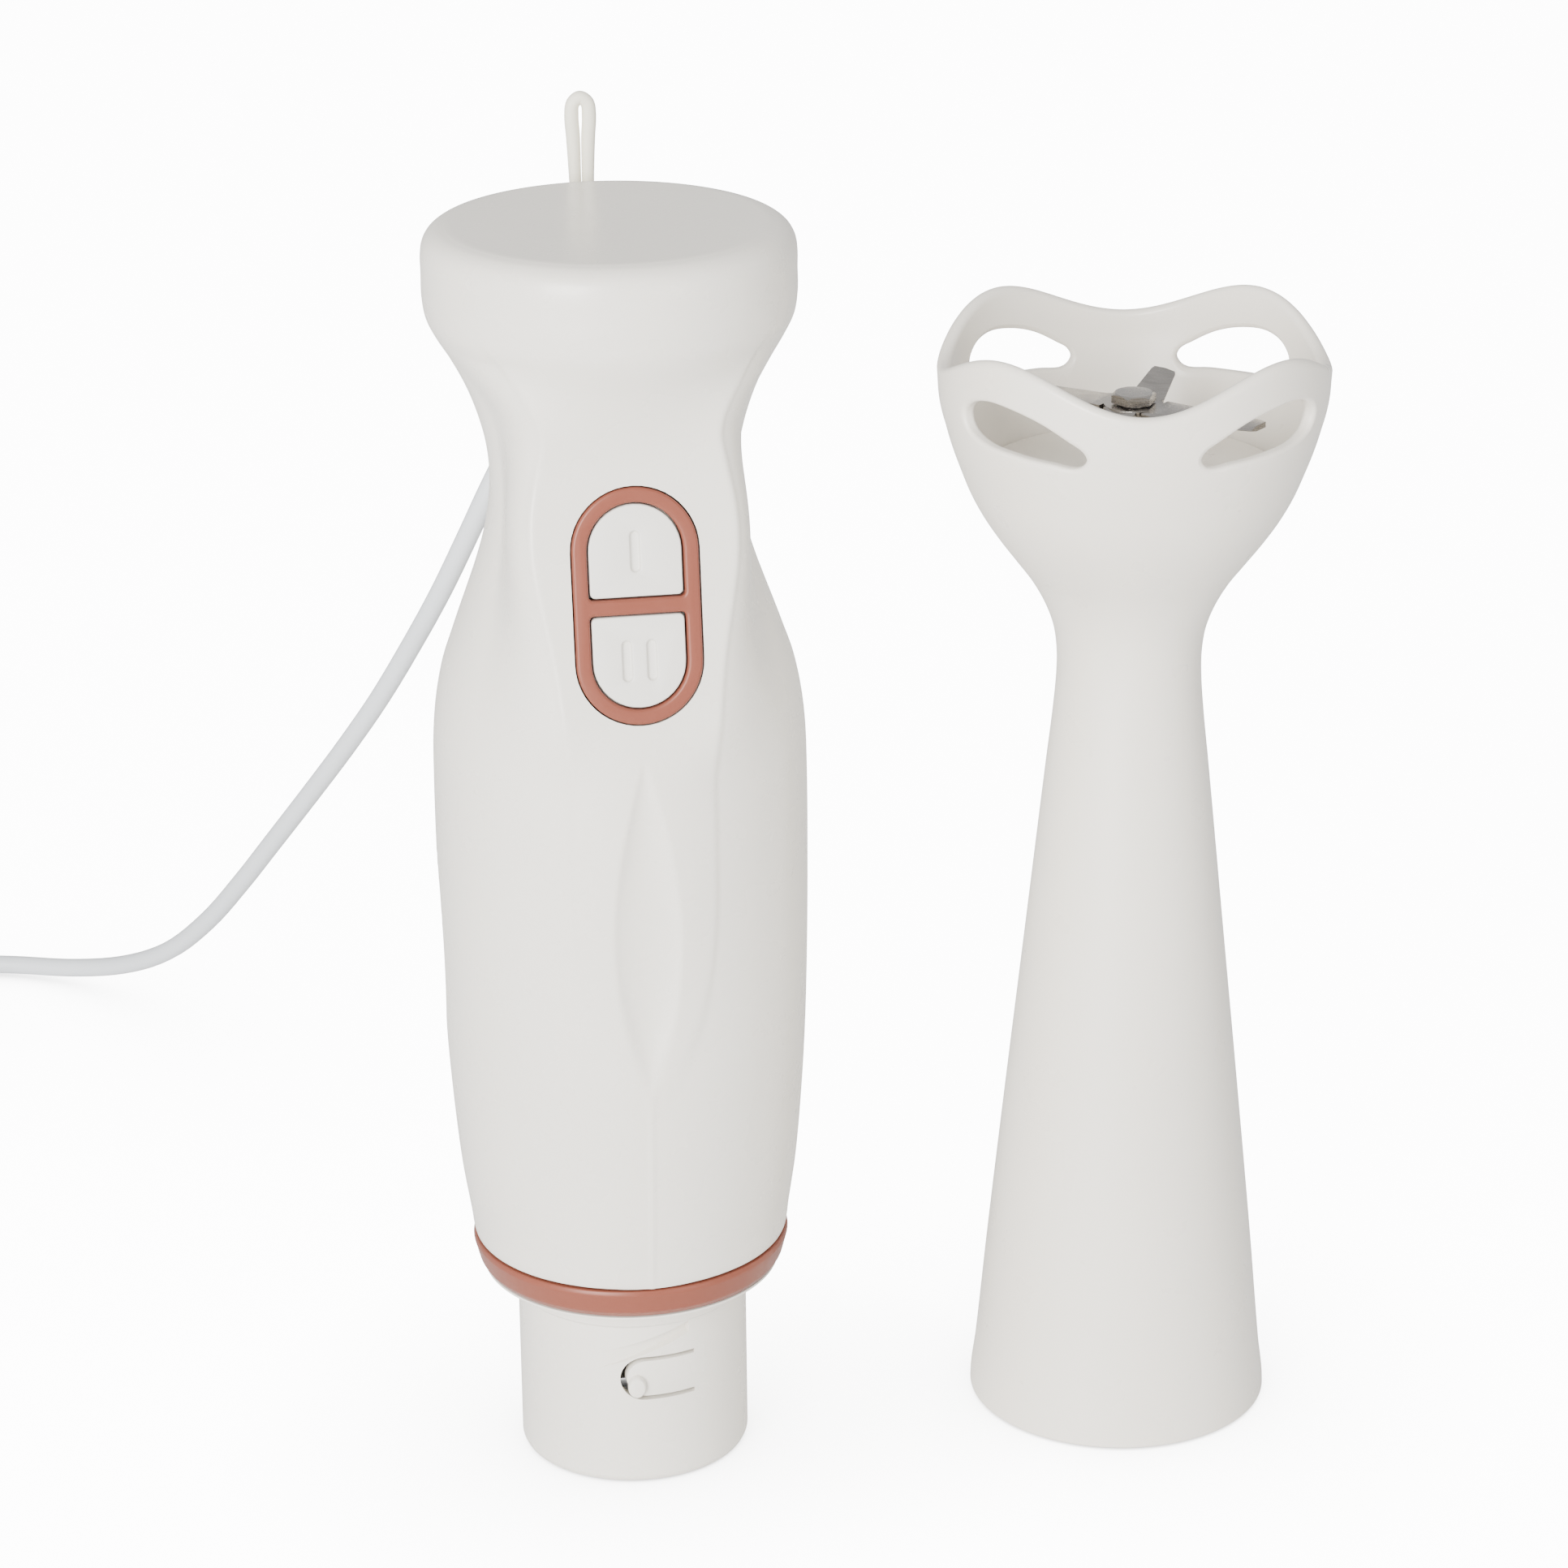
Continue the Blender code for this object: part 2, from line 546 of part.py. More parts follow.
def make_cord(mats):
    make_tube("mains_cord", smooth_route(CORD_ROUTE, 10.0), CORD_R, mats["cord"])
    make_tube("mains_cord_tail", smooth_route(TAIL_ROUTE, 8.0), CORD_R, mats["cord"])
    inner, outer = COIL_MEAN_R - COIL_COLUMNS * CORD_R, COIL_MEAN_R + COIL_COLUMNS * CORD_R
    low, high = COIL_BOTTOM, COIL_BOTTOM + 2 * COIL_LAYERS * CORD_R
    coil = [(inner, low), (outer - 1, low), (outer, low + 1), (outer, high - 1), (outer - 1, high),
            (inner, high)]
    place("cord_coil", lathe(coil, 28), mats["cord"], (*COIL_AT, 0))
    middle = (0, -COIL_MEAN_R, (low + high) / 2)
    width, tall = outer - inner + 2 * GAP, high - low + 2 * GAP
    tie = place("cord_tie", block((5, width + 1.0, tall + 0.6), middle), mats["cord"], (*COIL_AT, 0))
    cut(tie, block((8, width, tall), middle), (*COIL_AT, 0))


def make_plug(mats):
    """Flat two-pin plug lying on its side, pins towards -Y, with a tapered cord tail."""
    body = [(-4, -5), (4, -5), (7, -8), (11, -16), (17.3, -27), (17.6, -36), (-17.6, -36),
            (-17.3, -27), (-11, -16), (-7, -8)]
    plug = place("mains_plug", prism(body, -6.8, 6.8), mats["cord"], PLUG_AT)
    tail = lathe([(0, 0.5), (2.7, 0.5), (4.0, 6.5), (0, 6.5)], SMALL_SIDES)
    bmesh.ops.transform(tail, matrix=turned_to((0, -1, 0)), verts=tail.verts)
    add(plug, tail, PLUG_AT)
    for name, x in (("plug_pin_left", -9.3), ("plug_pin_right", 9.3)):
        pin = lathe([(0, 36.3), (2.0, 36.3), (2.0, 54.0), (1.2, 55.0), (0, 55.0)], 12)
        bmesh.ops.transform(pin, matrix=turned_to((0, -1, 0)), verts=pin.verts)
        place(name, pin, mats["nickel"], Vector(PLUG_AT) + Vector((x, 0, 0)))


# Blending leg ------------------------------------------------------------------------
LEG_OUTER = [
    (26.4, 0), (26.8, 0.8), (23.9, 30), (20.8, 60), (17.6, 90), (14.2, 122), (12.6, 138), (12.9, 146),
    (15.6, 153.3), (20.2, 160), (25.8, 168), (29.5, 176), (32.2, 184.5), (33.5, 191),
    (33.9, RIM_Z - 0.8), (33.2, RIM_Z),
]
LEG_INNER = [
    (24.0, 0), (22.1, 1.4), (22.1, 39.4), (20.4, 39.6), (18.4, 60), (15.2, 90), (10.2, 138),
    (10.5, 146), (13.0, 153.3), (17.8, 160), (23.4, 168), (27.1, 176), (29.8, 184.5), (31.1, 191),
    (31.5, RIM_Z - 0.8), (32.0, RIM_Z),
]
WINDOW = [
    (9.6, 186.4), (10.4, 187.6), (13, 188.8), (17, 191.2), (21, 193.0), (25, 193.6), (27.4, 192.6),
    (28.8, 190.2), (28.4, 187.3), (26.5, 186.0), (22, 185.4), (16, 185.1), (11, 185.2),
]


def rim_ring(radius, z):
    """Ring of the blade guard: four crests on the diagonals, four dips between them."""
    angles = even_angles(HOUSING_SIDES)
    lift = RIM_WAVE * max(0.0, (z - RIM_WAVE_FROM) / (RIM_Z - RIM_WAVE_FROM))
    return [point + Vector((0, 0, -lift * math.cos(4 * a)))
            for point, a in zip(ring(radius, z, angles), angles)]


def make_leg_housing(mats):
    rings = [rim_ring(r, z) for r, z in LEG_OUTER] + [rim_ring(r, z) for r, z in reversed(LEG_INNER)]
    stand = empty("leg_turn", LEG, Matrix.Rotation(LEG_TURN, 4, "Z"))
    leg = place("leg_housing", skin(rings), mats["leg"], parent=stand)
    for side in (-1, 1):
        outline = [(side * x, z) for x, z in WINDOW]
        opening = prism(outline, -40, 40)
        bmesh.ops.transform(opening, matrix=Matrix.Rotation(math.pi / 2, 4, "X"), verts=opening.verts)
        cut(leg, opening, parent=stand)


def make_leg_inside(mats):
    stand = empty("leg_stand", LEG, Matrix.Rotation(LEG_TURN, 4, "Z"))
    sleeve = place("leg_coupling_sleeve", tube(20.6, 21.8, 3.4, 35.4, 28), mats["leg"], parent=stand)
    lug_z = SEAT_Z - RAMP_Z - RAMP_RISE - RAMP_TALL / 2
    for side in (FRONT, -FRONT):
        middle = side - RAMP_HALF_ANGLE + math.radians(5)
        lug = arc_block(19.3, 21.0, lug_z - 0.7, lug_z + 0.7, middle - 0.1, middle + 0.1, 2)
        add(sleeve, lug, parent=stand)
    pocket = rod(2.1, 18, 23, 12)
    turn = Matrix.Rotation(NUB_AZ, 4, "Z") @ turned_to((0, -1, 0))
    bmesh.ops.transform(pocket, matrix=turn, verts=pocket.verts)
    bmesh.ops.translate(pocket, vec=(0, 0, (SEAT_Z - NUB_Z) * MM), verts=pocket.verts)
    cut(sleeve, pocket, parent=stand)
    place("leg_bearing_carrier", tube(4.7, 21.8, 35.8, 39.2), mats["leg"], LEG)
    place("leg_lower_bush", tube(SHAFT_BORE_R, 4.4, 34.4, 40.2, SMALL_SIDES), mats["bronze"], LEG)
    place("bell_floor", lathe([(5.3, 158), (8, 158), (8, 172.4), (25.0, 172.4), (25.9, 174.6), (25.6, 175),
                                (5.3, 175)], 32), mats["leg"], LEG)
    place("leg_upper_bush", tube(SHAFT_BORE_R, 5.0, 160, 172, SMALL_SIDES), mats["bronze"], LEG)
    place("shaft_seal", lathe([(SHAFT_BORE_R, 175.3), (7.0, 175.3), (7.0, 176.6), (4.4, 178.2),
                               (SHAFT_BORE_R, 178.2)]), mats["rubber"], LEG)


def blade_arm(angle, length, width, tip_width, tilt, sweep):
    """Flat arm from the hub outwards, tilted up or down beyond the hub."""
    outline = [(0, -width / 2), (length - HUB_R, sweep - tip_width / 2),
               (length - HUB_R, sweep + tip_width / 2), (0, width / 2)]
    arm = prism(outline, -0.5, 0.5)
    bend = Matrix.Translation((HUB_R * MM, 0, 0)) @ Matrix.Rotation(-tilt, 4, "Y")
    bmesh.ops.transform(arm, matrix=bend, verts=arm.verts)
    bmesh.ops.transform(arm, matrix=Matrix.Rotation(angle, 4, "Z"), verts=arm.verts)
    return arm


def make_blade_drive(mats):
    place("blade_shaft", rod(SHAFT_R, 21.6, 188.4, SMALL_SIDES), mats["steel"], LEG)
    socket = place("drive_socket", lathe([(0, 10.2), (7.5, 10.2), (7.5, 26), (0, 26)]), mats["dark"], LEG)
    angles, radii = toothed(6, 4.8, 6.4, 0.4, 0.15)
    cut(socket, skin([ring(radii, 5, angles), ring(radii, 21, angles)], closed=False), LEG)
    cut(socket, rod(SHAFT_BORE_R, 20, 30, SMALL_SIDES), LEG)
    place("shaft_circlip", tube(SHAFT_BORE_R, 4.6, 40.6, 41.6, SMALL_SIDES), mats["steel"], LEG)
    place("blade_collar", tube(SHAFT_BORE_R, 3.9, 178.6, BLADE_Z - 0.5 - GAP, SMALL_SIDES),
          mats["steel"], LEG)
    at = (*LEG_AXIS, BLADE_Z)
    blade = place("blade", rod(HUB_R + 0.9, -0.5, 0.5), mats["steel"], at)
    for half_turn in (0, math.pi):
        tilt = math.radians(24) if half_turn else math.radians(-24)
        add(blade, blade_arm(BLADE_AZ + half_turn, 24.0, 8.5, 5.5, 0.0, 1.2), at)
        add(blade, blade_arm(BLADE_AZ + math.pi / 2 + half_turn, 12.5, 6.5, 4.5, tilt, 1.0), at)
    cut(blade, rod(SHAFT_BORE_R, -3, 3, SMALL_SIDES), at)
    hexagon = [math.pi / 3 * i for i in range(6)]
    nut = skin([ring(r, z, hexagon) for r, z in ((3.1, 0), (4.6, 0), (4.6, 1.9), (3.1, 1.9))])
    place("blade_nut", nut, mats["steel"], (*LEG_AXIS, BLADE_Z + 0.5 + GAP))


def main():
    for obj in list(bpy.data.objects):
        bpy.data.objects.remove(obj, do_unlink=True)
    mats = make_materials()
    pad = switch_frame()
    window = latch_frame()
    gland = make_shells(mats, pad)
    make_housing_screws(mats)
    make_trim_ring(mats)
    make_spigot(mats, window)
    make_latch(mats, window)
    make_bezel(mats, pad)
    make_button("button_low", 1, mats, pad)
    make_button("button_high", -1, mats, pad)
    make_switches(mats, pad)
    make_motor(mats)
    make_armature(mats)
    make_electrics(mats)
    make_strain_relief(mats, gland)
    make_clamp(mats)
    make_loop(mats)
    make_cord(mats)
    make_plug(mats)
    make_leg_housing(mats)
    make_leg_inside(mats)
    make_blade_drive(mats)


main()
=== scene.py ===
"""Looks of the immersion blender: motor unit on its spigot, blending leg mouth down, mains cord.

Shapes are worked out in millimetres around each piece's own axis and scaled to metres.
"""

import json
import math

import bmesh
import bpy
import numpy as np
from mathutils import Matrix, Vector, geometry


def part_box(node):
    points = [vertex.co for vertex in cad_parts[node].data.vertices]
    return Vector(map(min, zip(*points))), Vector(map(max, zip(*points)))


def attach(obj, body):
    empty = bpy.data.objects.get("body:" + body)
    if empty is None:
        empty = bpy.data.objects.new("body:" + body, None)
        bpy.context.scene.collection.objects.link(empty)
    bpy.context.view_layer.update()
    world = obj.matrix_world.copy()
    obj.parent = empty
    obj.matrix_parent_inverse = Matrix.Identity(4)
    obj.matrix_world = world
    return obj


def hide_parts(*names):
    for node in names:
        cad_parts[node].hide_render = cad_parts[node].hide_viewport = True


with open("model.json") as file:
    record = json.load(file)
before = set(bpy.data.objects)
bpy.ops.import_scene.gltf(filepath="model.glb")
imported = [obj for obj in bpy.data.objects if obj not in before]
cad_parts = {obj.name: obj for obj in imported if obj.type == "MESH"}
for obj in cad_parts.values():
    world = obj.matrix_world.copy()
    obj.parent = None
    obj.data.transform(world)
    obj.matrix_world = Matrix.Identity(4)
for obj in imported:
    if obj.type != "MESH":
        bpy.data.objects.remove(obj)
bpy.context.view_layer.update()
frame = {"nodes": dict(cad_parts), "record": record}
NODES = frame["nodes"]
SLOT_OF = {part["node"]: part["material_slot"] for part in frame["record"]["subparts"]}
MM = 0.001
WELD = 2e-6
FRONT = -math.pi / 2


def middle(node):
    """Middle of a CAD node's footprint, in millimetres, at floor height."""
    low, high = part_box(node)
    return Vector(((low.x + high.x) / 2, (low.y + high.y) / 2, 0)) / MM


UNIT = middle("trim_ring")
LEG = middle("leg_bearing_carrier")
LEG_TURN = math.radians(-10)


# Camera ------------------------------------------------------------------------------
def make_camera():
    data = bpy.data.cameras.new("camera")
    data.lens, data.sensor_width = 112.89, 36.0
    data.shift_x, data.shift_y = -0.0475, 0.0210
    data.clip_start, data.clip_end = 0.05, 60
    obj = bpy.data.objects.new("camera", data)
    forward = Vector((0.16479, 0.91401, -0.37071)).normalized()
    right = Vector((0.9839, -0.17868, -0.00319))
    right = (right - forward * right.dot(forward)).normalized()
    up = right.cross(forward)
    obj.matrix_world = Matrix((right, up, -forward)).transposed().to_4x4()
    obj.location = (-0.14493, -0.78143, 0.43164)
    bpy.context.scene.collection.objects.link(obj)
    bpy.context.scene.camera = obj


# Curves and meshes -------------------------------------------------------------------
def smooth(points, per=8, closed=False):
    """Smooth curve through points; a repeated point makes a corner."""
    points = [Vector(p) for p in points]
    if closed:
        points = points[-2:] + points + points[:2]
    runs, run = [], [points[0]]
    for p in points[1:]:
        if (p - run[-1]).length < 1e-9:
            runs.append(run)
            run = [p]
        else:
            run.append(p)
    runs.append(run)
    out = []
    for run in runs:
        if len(run) < 3:
            out += run
            continue
        t = np.concatenate([[0], np.cumsum([(b - a).length for a, b in zip(run, run[1:])])])
        p = np.array([list(q) for q in run])
        step = (p[1:] - p[:-1]) / (t[1:] - t[:-1])[:, None]
        m = np.vstack([step[:1], (step[:-1] + step[1:]) / 2, step[-1:]])
        for i in range(len(run) - 1):
            h = t[i + 1] - t[i]
            for k in range(per):
                s = k / per
                a = (2 * s**3 - 3 * s**2 + 1) * p[i] + (s**3 - 2 * s**2 + s) * h * m[i]
                b = (-2 * s**3 + 3 * s**2) * p[i + 1] + (s**3 - s**2) * h * m[i + 1]
                out.append(Vector(a + b))
        out.append(run[-1])
    if closed:
        out = out[2 * per:-per - 1]
    return out


def mesh_object(name, verts, faces, at=(0, 0, 0), sharp=40):
    """Mesh in metres from points in millimetres around a place."""
    mesh = bpy.data.meshes.new(name)
    points = (np.array([list(v) for v in verts]) + np.array(list(at))) * MM
    mesh.from_pydata(points.tolist(), [], faces)
    return finish_mesh(name, mesh, sharp)


def finish_mesh(name, mesh, sharp=40):
    """Welds a new mesh, turns its faces outwards and puts it in the scene."""
    bm = bmesh.new()
    bm.from_mesh(mesh)
    bmesh.ops.remove_doubles(bm, verts=bm.verts[:], dist=WELD)
    bmesh.ops.recalc_face_normals(bm, faces=bm.faces[:])
    bm.to_mesh(mesh)
    bm.free()
    obj = bpy.data.objects.new(name, mesh)
    bpy.context.scene.collection.objects.link(obj)
    return shaded(obj, sharp)


def shaded(obj, sharp):
    """Smooth shading, broken at edges sharper than an angle in degrees."""
    obj.data.shade_smooth()
    obj.data.set_sharp_from_angle(angle=math.radians(sharp))
    return obj


def tube(name, points, radius, resolution, swell=None):
    """Round tube along points in millimetres; swell scales its radius at each point."""
    curve = bpy.data.curves.new(name, "CURVE")
    curve.dimensions = "3D"
    curve.bevel_depth = radius * MM
    curve.bevel_resolution = resolution
    curve.use_fill_caps = True
    line = curve.splines.new("POLY")
    line.points.add(len(points) - 1)
    for i, (knot, point) in enumerate(zip(line.points, points)):
        knot.co = (*(point * MM), 1)
        if swell is not None:
            knot.radius = swell[i]
    line.use_smooth = True
    obj = bpy.data.objects.new(name, curve)
    bpy.context.scene.collection.objects.link(obj)
    return obj


def grid_faces(rows, columns, wrap):
    """Quads between rows of points; wrap joins the last column to the first."""
    faces = []
    for i in range(rows - 1):
        for j in range(columns if wrap else columns - 1):
            k = (j + 1) % columns
            faces.append((i * columns + j, i * columns + k, (i + 1) * columns + k, (i + 1) * columns + j))
    return faces


def lathe(name, profile, at, sides=128, closed=False, sharp=40):
    """Turned body; points on the axis close its ends, closed joins the last point to the first."""
    profile = [(p[0], p[1]) for p in profile]
    if closed:
        profile.append(profile[0])
    angles = [2 * math.pi * k / sides for k in range(sides)]
    verts = [(max(r, 0) * math.cos(a), max(r, 0) * math.sin(a), z) for r, z in profile for a in angles]
    return mesh_object(name, verts, grid_faces(len(profile), sides, True), at, sharp)


def rounded(profile, radius, steps=4):
    """Closed outline with each corner rounded; a corner may carry its own radius."""
    out = []
    count = len(profile)
    for i, corner in enumerate(profile):
        p = Vector(corner[:2])
        a, b = Vector(profile[i - 1][:2]) - p, Vector(profile[(i + 1) % count][:2]) - p
        want = corner[2] if len(corner) > 2 else radius
        if want <= 0:
            out.append(p)
            continue
        half = a.angle(b) / 2
        cut = min(want / math.tan(half), a.length / 2.05, b.length / 2.05)
        start, end = p + a.normalized() * cut, p + b.normalized() * cut
        for k in range(steps + 1):
            t = k / steps
            out.append((1 - t) ** 2 * start + 2 * t * (1 - t) * p + t * t * end)
    return out


def prism(name, outline, low, high, matrix=Matrix.Identity(4), sharp=40):
    """Outline in X and Y between two heights, placed by a matrix in millimetres."""
    count = len(outline)
    verts = [matrix @ Vector((p[0], p[1], z)) for z in (low, high) for p in outline]
    faces = [tuple(reversed(range(count))), tuple(range(count, 2 * count))]
    faces += [(i, (i + 1) % count, count + (i + 1) % count, count + i) for i in range(count)]
    return mesh_object(name, verts, faces, sharp=sharp)


def sweep(name, path, profile_at, closed=False, cap=True):
    """Skin over sections: profile_at(i) gives the section's points at path index i."""
    sections = [profile_at(i) for i in range(len(path))]
    count = len(sections[0])
    verts = [p for section in sections for p in section]
    if closed:
        verts += sections[0]
    rows = len(sections) + (1 if closed else 0)
    faces = grid_faces(rows, count, True)
    if not closed and cap:
        faces += [tuple(reversed(range(count))), tuple(range((rows - 1) * count, rows * count))]
    return mesh_object(name, verts, faces)


def baked(obj):
    """Applies an object's modifiers."""
    bpy.context.view_layer.update()
    evaluated = obj.evaluated_get(bpy.context.evaluated_depsgraph_get())
    mesh = bpy.data.meshes.new_from_object(evaluated)
    obj.modifiers.clear()
    obj.data = mesh
    return obj


def boolean(obj, *tools, operation="DIFFERENCE"):
    for tool in tools:
        mod = obj.modifiers.new("boolean", "BOOLEAN")
        mod.operation = operation
        mod.solver = "EXACT"
        mod.object = tool
    baked(obj)
    for tool in tools:
        bpy.data.objects.remove(tool)
    return obj


def bevelled(obj, width, segments=3, angle=35):
    mod = obj.modifiers.new("bevel", "BEVEL")
    mod.width = width * MM
    mod.segments = segments
    mod.limit_method = "ANGLE"
    mod.angle_limit = math.radians(angle)
    mod.miter_outer = "MITER_ARC"
    return shaded(baked(obj), 30)


def show(obj, body, *replaced, slot=None, mat=None):
    """Rides a piece on a body in place of CAD nodes and gives it its slot and material."""
    slot = slot or SLOT_OF[replaced[0]]
    obj.data.materials.clear()
    obj.data.materials.append(mat or MATERIALS[slot])
    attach(obj, body)
    if replaced:
        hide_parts(*replaced)
    return obj


def frame_matrix(origin, x, y, z):
    turn = Matrix((Vector(x), Vector(y), Vector(z))).transposed().to_4x4()
    return Matrix.Translation(Vector(origin)) @ turn


def step(value, low, high):
    """Smooth step from 0 at low to 1 at high."""
    t = np.clip((value - low) / (high - low), 0, 1)
    return t * t * (3 - 2 * t)


# Materials ---------------------------------------------------------------------------
def new_material(name, color, roughness, metallic=0.0, **sockets):
    mat = bpy.data.materials.new(name)
    mat.use_nodes = True
    shader = mat.node_tree.nodes["Principled BSDF"]
    shader.inputs["Base Color"].default_value = (*color, 1)
    shader.inputs["Roughness"].default_value = roughness
    shader.inputs["Metallic"].default_value = metallic
    for socket, value in sockets.items():
        shader.inputs[socket.replace("_", " ")].default_value = value
    mat.diffuse_color = (*color, 1)
    return mat


def add_noise(mat, scale, detail=4.0, stretch=(1, 1, 1)):
    """Noise in object space, stretched to make grain or brushing."""
    nodes, links = mat.node_tree.nodes, mat.node_tree.links
    coords = nodes.new("ShaderNodeTexCoord")
    mapping = nodes.new("ShaderNodeMapping")
    mapping.inputs["Scale"].default_value = stretch
    noise = nodes.new("ShaderNodeTexNoise")
    noise.inputs["Scale"].default_value = scale
    noise.inputs["Detail"].default_value = detail
    links.new(coords.outputs["Object"], mapping.inputs["Vector"])
    links.new(mapping.outputs["Vector"], noise.inputs["Vector"])
    return noise


def vary(mat, noise, socket, low, high, span=(0.3, 0.7)):
    """Drives roughness, or a colour between two colours, from a noise."""
    nodes, links = mat.node_tree.nodes, mat.node_tree.links
    shader = nodes["Principled BSDF"]
    if isinstance(low, (int, float)):
        ramp = nodes.new("ShaderNodeMapRange")
        ramp.inputs["From Min"].default_value, ramp.inputs["From Max"].default_value = span
        ramp.inputs["To Min"].default_value, ramp.inputs["To Max"].default_value = low, high
        links.new(noise.outputs["Fac"], ramp.inputs["Value"])
        links.new(ramp.outputs["Result"], shader.inputs[socket])
        return
    ramp = nodes.new("ShaderNodeValToRGB")
    ramp.color_ramp.elements[0].position, ramp.color_ramp.elements[1].position = span
    ramp.color_ramp.elements[0].color, ramp.color_ramp.elements[1].color = (*low, 1), (*high, 1)
    links.new(noise.outputs["Fac"], ramp.inputs["Fac"])
    links.new(ramp.outputs["Color"], shader.inputs[socket])


def bump(mat, noise, strength, distance):
    nodes, links = mat.node_tree.nodes, mat.node_tree.links
    node = nodes.new("ShaderNodeBump")
    node.inputs["Strength"].default_value = strength
    node.inputs["Distance"].default_value = distance
    links.new(noise.outputs["Fac"], node.inputs["Height"])
    links.new(node.outputs["Normal"], nodes["Principled BSDF"].inputs["Normal"])


def moulded(name, color, roughness, grain=0.04, **sockets):
    """Moulded plastic: faint cloudiness in colour, uneven gloss and a very fine surface."""
    mat = new_material(name, color, roughness, **sockets)
    cloud = add_noise(mat, 22, 3)
    darker = tuple(c * 0.965 for c in color)
    vary(mat, cloud, "Base Color", darker, color)
    vary(mat, add_noise(mat, 90, 5), "Roughness", roughness * 0.85, roughness * 1.2)
    bump(mat, add_noise(mat, 900, 2), grain, 0.00004)
    return mat


def brushed(name, color, roughness, stretch=(1, 1, 14), scale=260, **sockets):
    mat = new_material(name, color, roughness, 1.0, **sockets)
    noise = add_noise(mat, scale, 5, stretch)
    vary(mat, noise, "Base Color", tuple(c * 0.8 for c in color), color)
    vary(mat, noise, "Roughness", roughness * 0.7, roughness * 1.5)
    bump(mat, noise, 0.15, 0.00003)
    return mat


def make_materials():
    return {
        "white_plastic": moulded("white_plastic", (0.84, 0.80, 0.72), 0.27),
        "button_plastic": moulded("button_plastic", (0.82, 0.79, 0.725), 0.36, 0.08),
        "copper_trim": moulded("copper_trim", (0.22, 0.062, 0.036), 0.36, 0.12, Metallic=0.1,
                               Specular_IOR_Level=0.35),
        "leg_plastic": moulded("leg_plastic", (0.86, 0.81, 0.72), 0.30),
        "stainless_steel": brushed("stainless_steel", (0.36, 0.34, 0.32), 0.24),
        "dark_plastic": moulded("dark_plastic", (0.035, 0.035, 0.038), 0.5, 0.2),
        "grey_rubber": moulded("grey_rubber", (0.22, 0.22, 0.22), 0.75, 0.4),
        "loop_rubber": moulded("loop_rubber", (0.9, 0.86, 0.72), 0.5, 0.25),
        "cord_pvc": moulded("cord_pvc", (0.72, 0.745, 0.765), 0.42, 0.15),
        "circuit_board": moulded("circuit_board", (0.03, 0.16, 0.06), 0.45, 0.2),
        "laminated_iron": brushed("laminated_iron", (0.26, 0.26, 0.28), 0.42, (1, 1, 40), 60),
        "winding_copper": brushed("winding_copper", (0.52, 0.20, 0.08), 0.35, (1, 1, 30), 120),
        "sintered_bronze": brushed("sintered_bronze", (0.42, 0.27, 0.13), 0.55, (1, 1, 1), 700),
        "ferrite": moulded("ferrite", (0.055, 0.055, 0.06), 0.65, 0.3),
        "carbon": moulded("carbon", (0.025, 0.025, 0.028), 0.6, 0.3),
        "pin_metal": brushed("pin_metal", (0.62, 0.59, 0.53), 0.28, (1, 20, 1)),
    }


# Mains cord --------------------------------------------------------------------------
CORD_D = 4.0
COIL_AT = Vector((-197.0, 201.0, 0))
COIL_RADII = (28.0, 24.0, 20.0, 20.0, 24.0, 28.0)
COIL_LOW = 0.8 + CORD_D / 2
COIL_TURNS, COIL_STEPS = 5.25, 32
CORD_ROUTE = [
    (-45.73, 51.62, 188.61), (-45.9, 54.5, 186.8), (-46.4, 57.0, 184.5), (-47.6, 59.4, 181.3),
    (-49.4, 61.3, 177.4), (-52.1, 63.2, 172.3), (-56.2, 65.8, 163.9), (-59.6, 68.6, 156.0),
    (-63.1, 73.4, 146.3), (-67.8, 82.2, 132.4), (-73.2, 94.5, 116.9), (-78.3, 105.5, 103.4),
    (-84.3, 118.6, 88.9), (-91.0, 133.1, 73.6), (-98.2, 148.8, 57.4), (-103.8, 160.9, 44.9),
    (-111.0, 176.5, 29.9), (-119.2, 192.6, 16.9), (-128.8, 207.8, 8.0), (-139.8, 219.2, 3.4),
    (-152.0, 226.0, 2.2), (-165.5, 228.7, 2.3), (-179.3, 229.0, 2.6),
]
TAIL_ROUTE = [
    (-225.2, 184.0, 6.8), (-225.6, 177.0, 5.9), (-225.3, 169.0, 5.5), (-224.4, 162.5, 6.3),
    (-224.0, 158.0, 6.9),
]


def coil_path():
    """Turns of the coil from its far side, out to in on the floor, then in to out above."""
    points = []
    for k in range(int(COIL_TURNS * COIL_STEPS) + 1):
        turn = k / COIL_STEPS
        ring, share = int(turn), turn - int(turn)
        after = COIL_RADII[min(ring + 1, len(COIL_RADII) - 1)]
        shift = float(step(share, 0.80, 1.0))
        radius = COIL_RADII[ring] + (after - COIL_RADII[ring]) * shift
        level = 1.0 if ring > 2 else shift if ring == 2 else 0.0
        angle = math.pi / 2 + 2 * math.pi * turn
        points.append(COIL_AT + Vector((radius * math.cos(angle), radius * math.sin(angle),
                                        COIL_LOW + CORD_D * level)))
    return points


def make_cord():
    points = smooth(CORD_ROUTE, 5) + coil_path() + smooth(TAIL_ROUTE, 4)
    cord = tube("cord", points, CORD_D / 2, 5)
    show(cord, "motor_unit", "mains_cord", "mains_cord_tail", "cord_coil")
    length = sum((b - a).length for a, b in zip(points, points[1:])) * MM
    return cord, points[0] * MM, length


GLAND = UNIT + Vector((0, 27.3, 203.2))
GLAND_WAY = Vector((0, 0.875, -0.485)).normalized()
RIBS, RIB_PITCH, RIB_CUT = 7, 3.2, 0.55


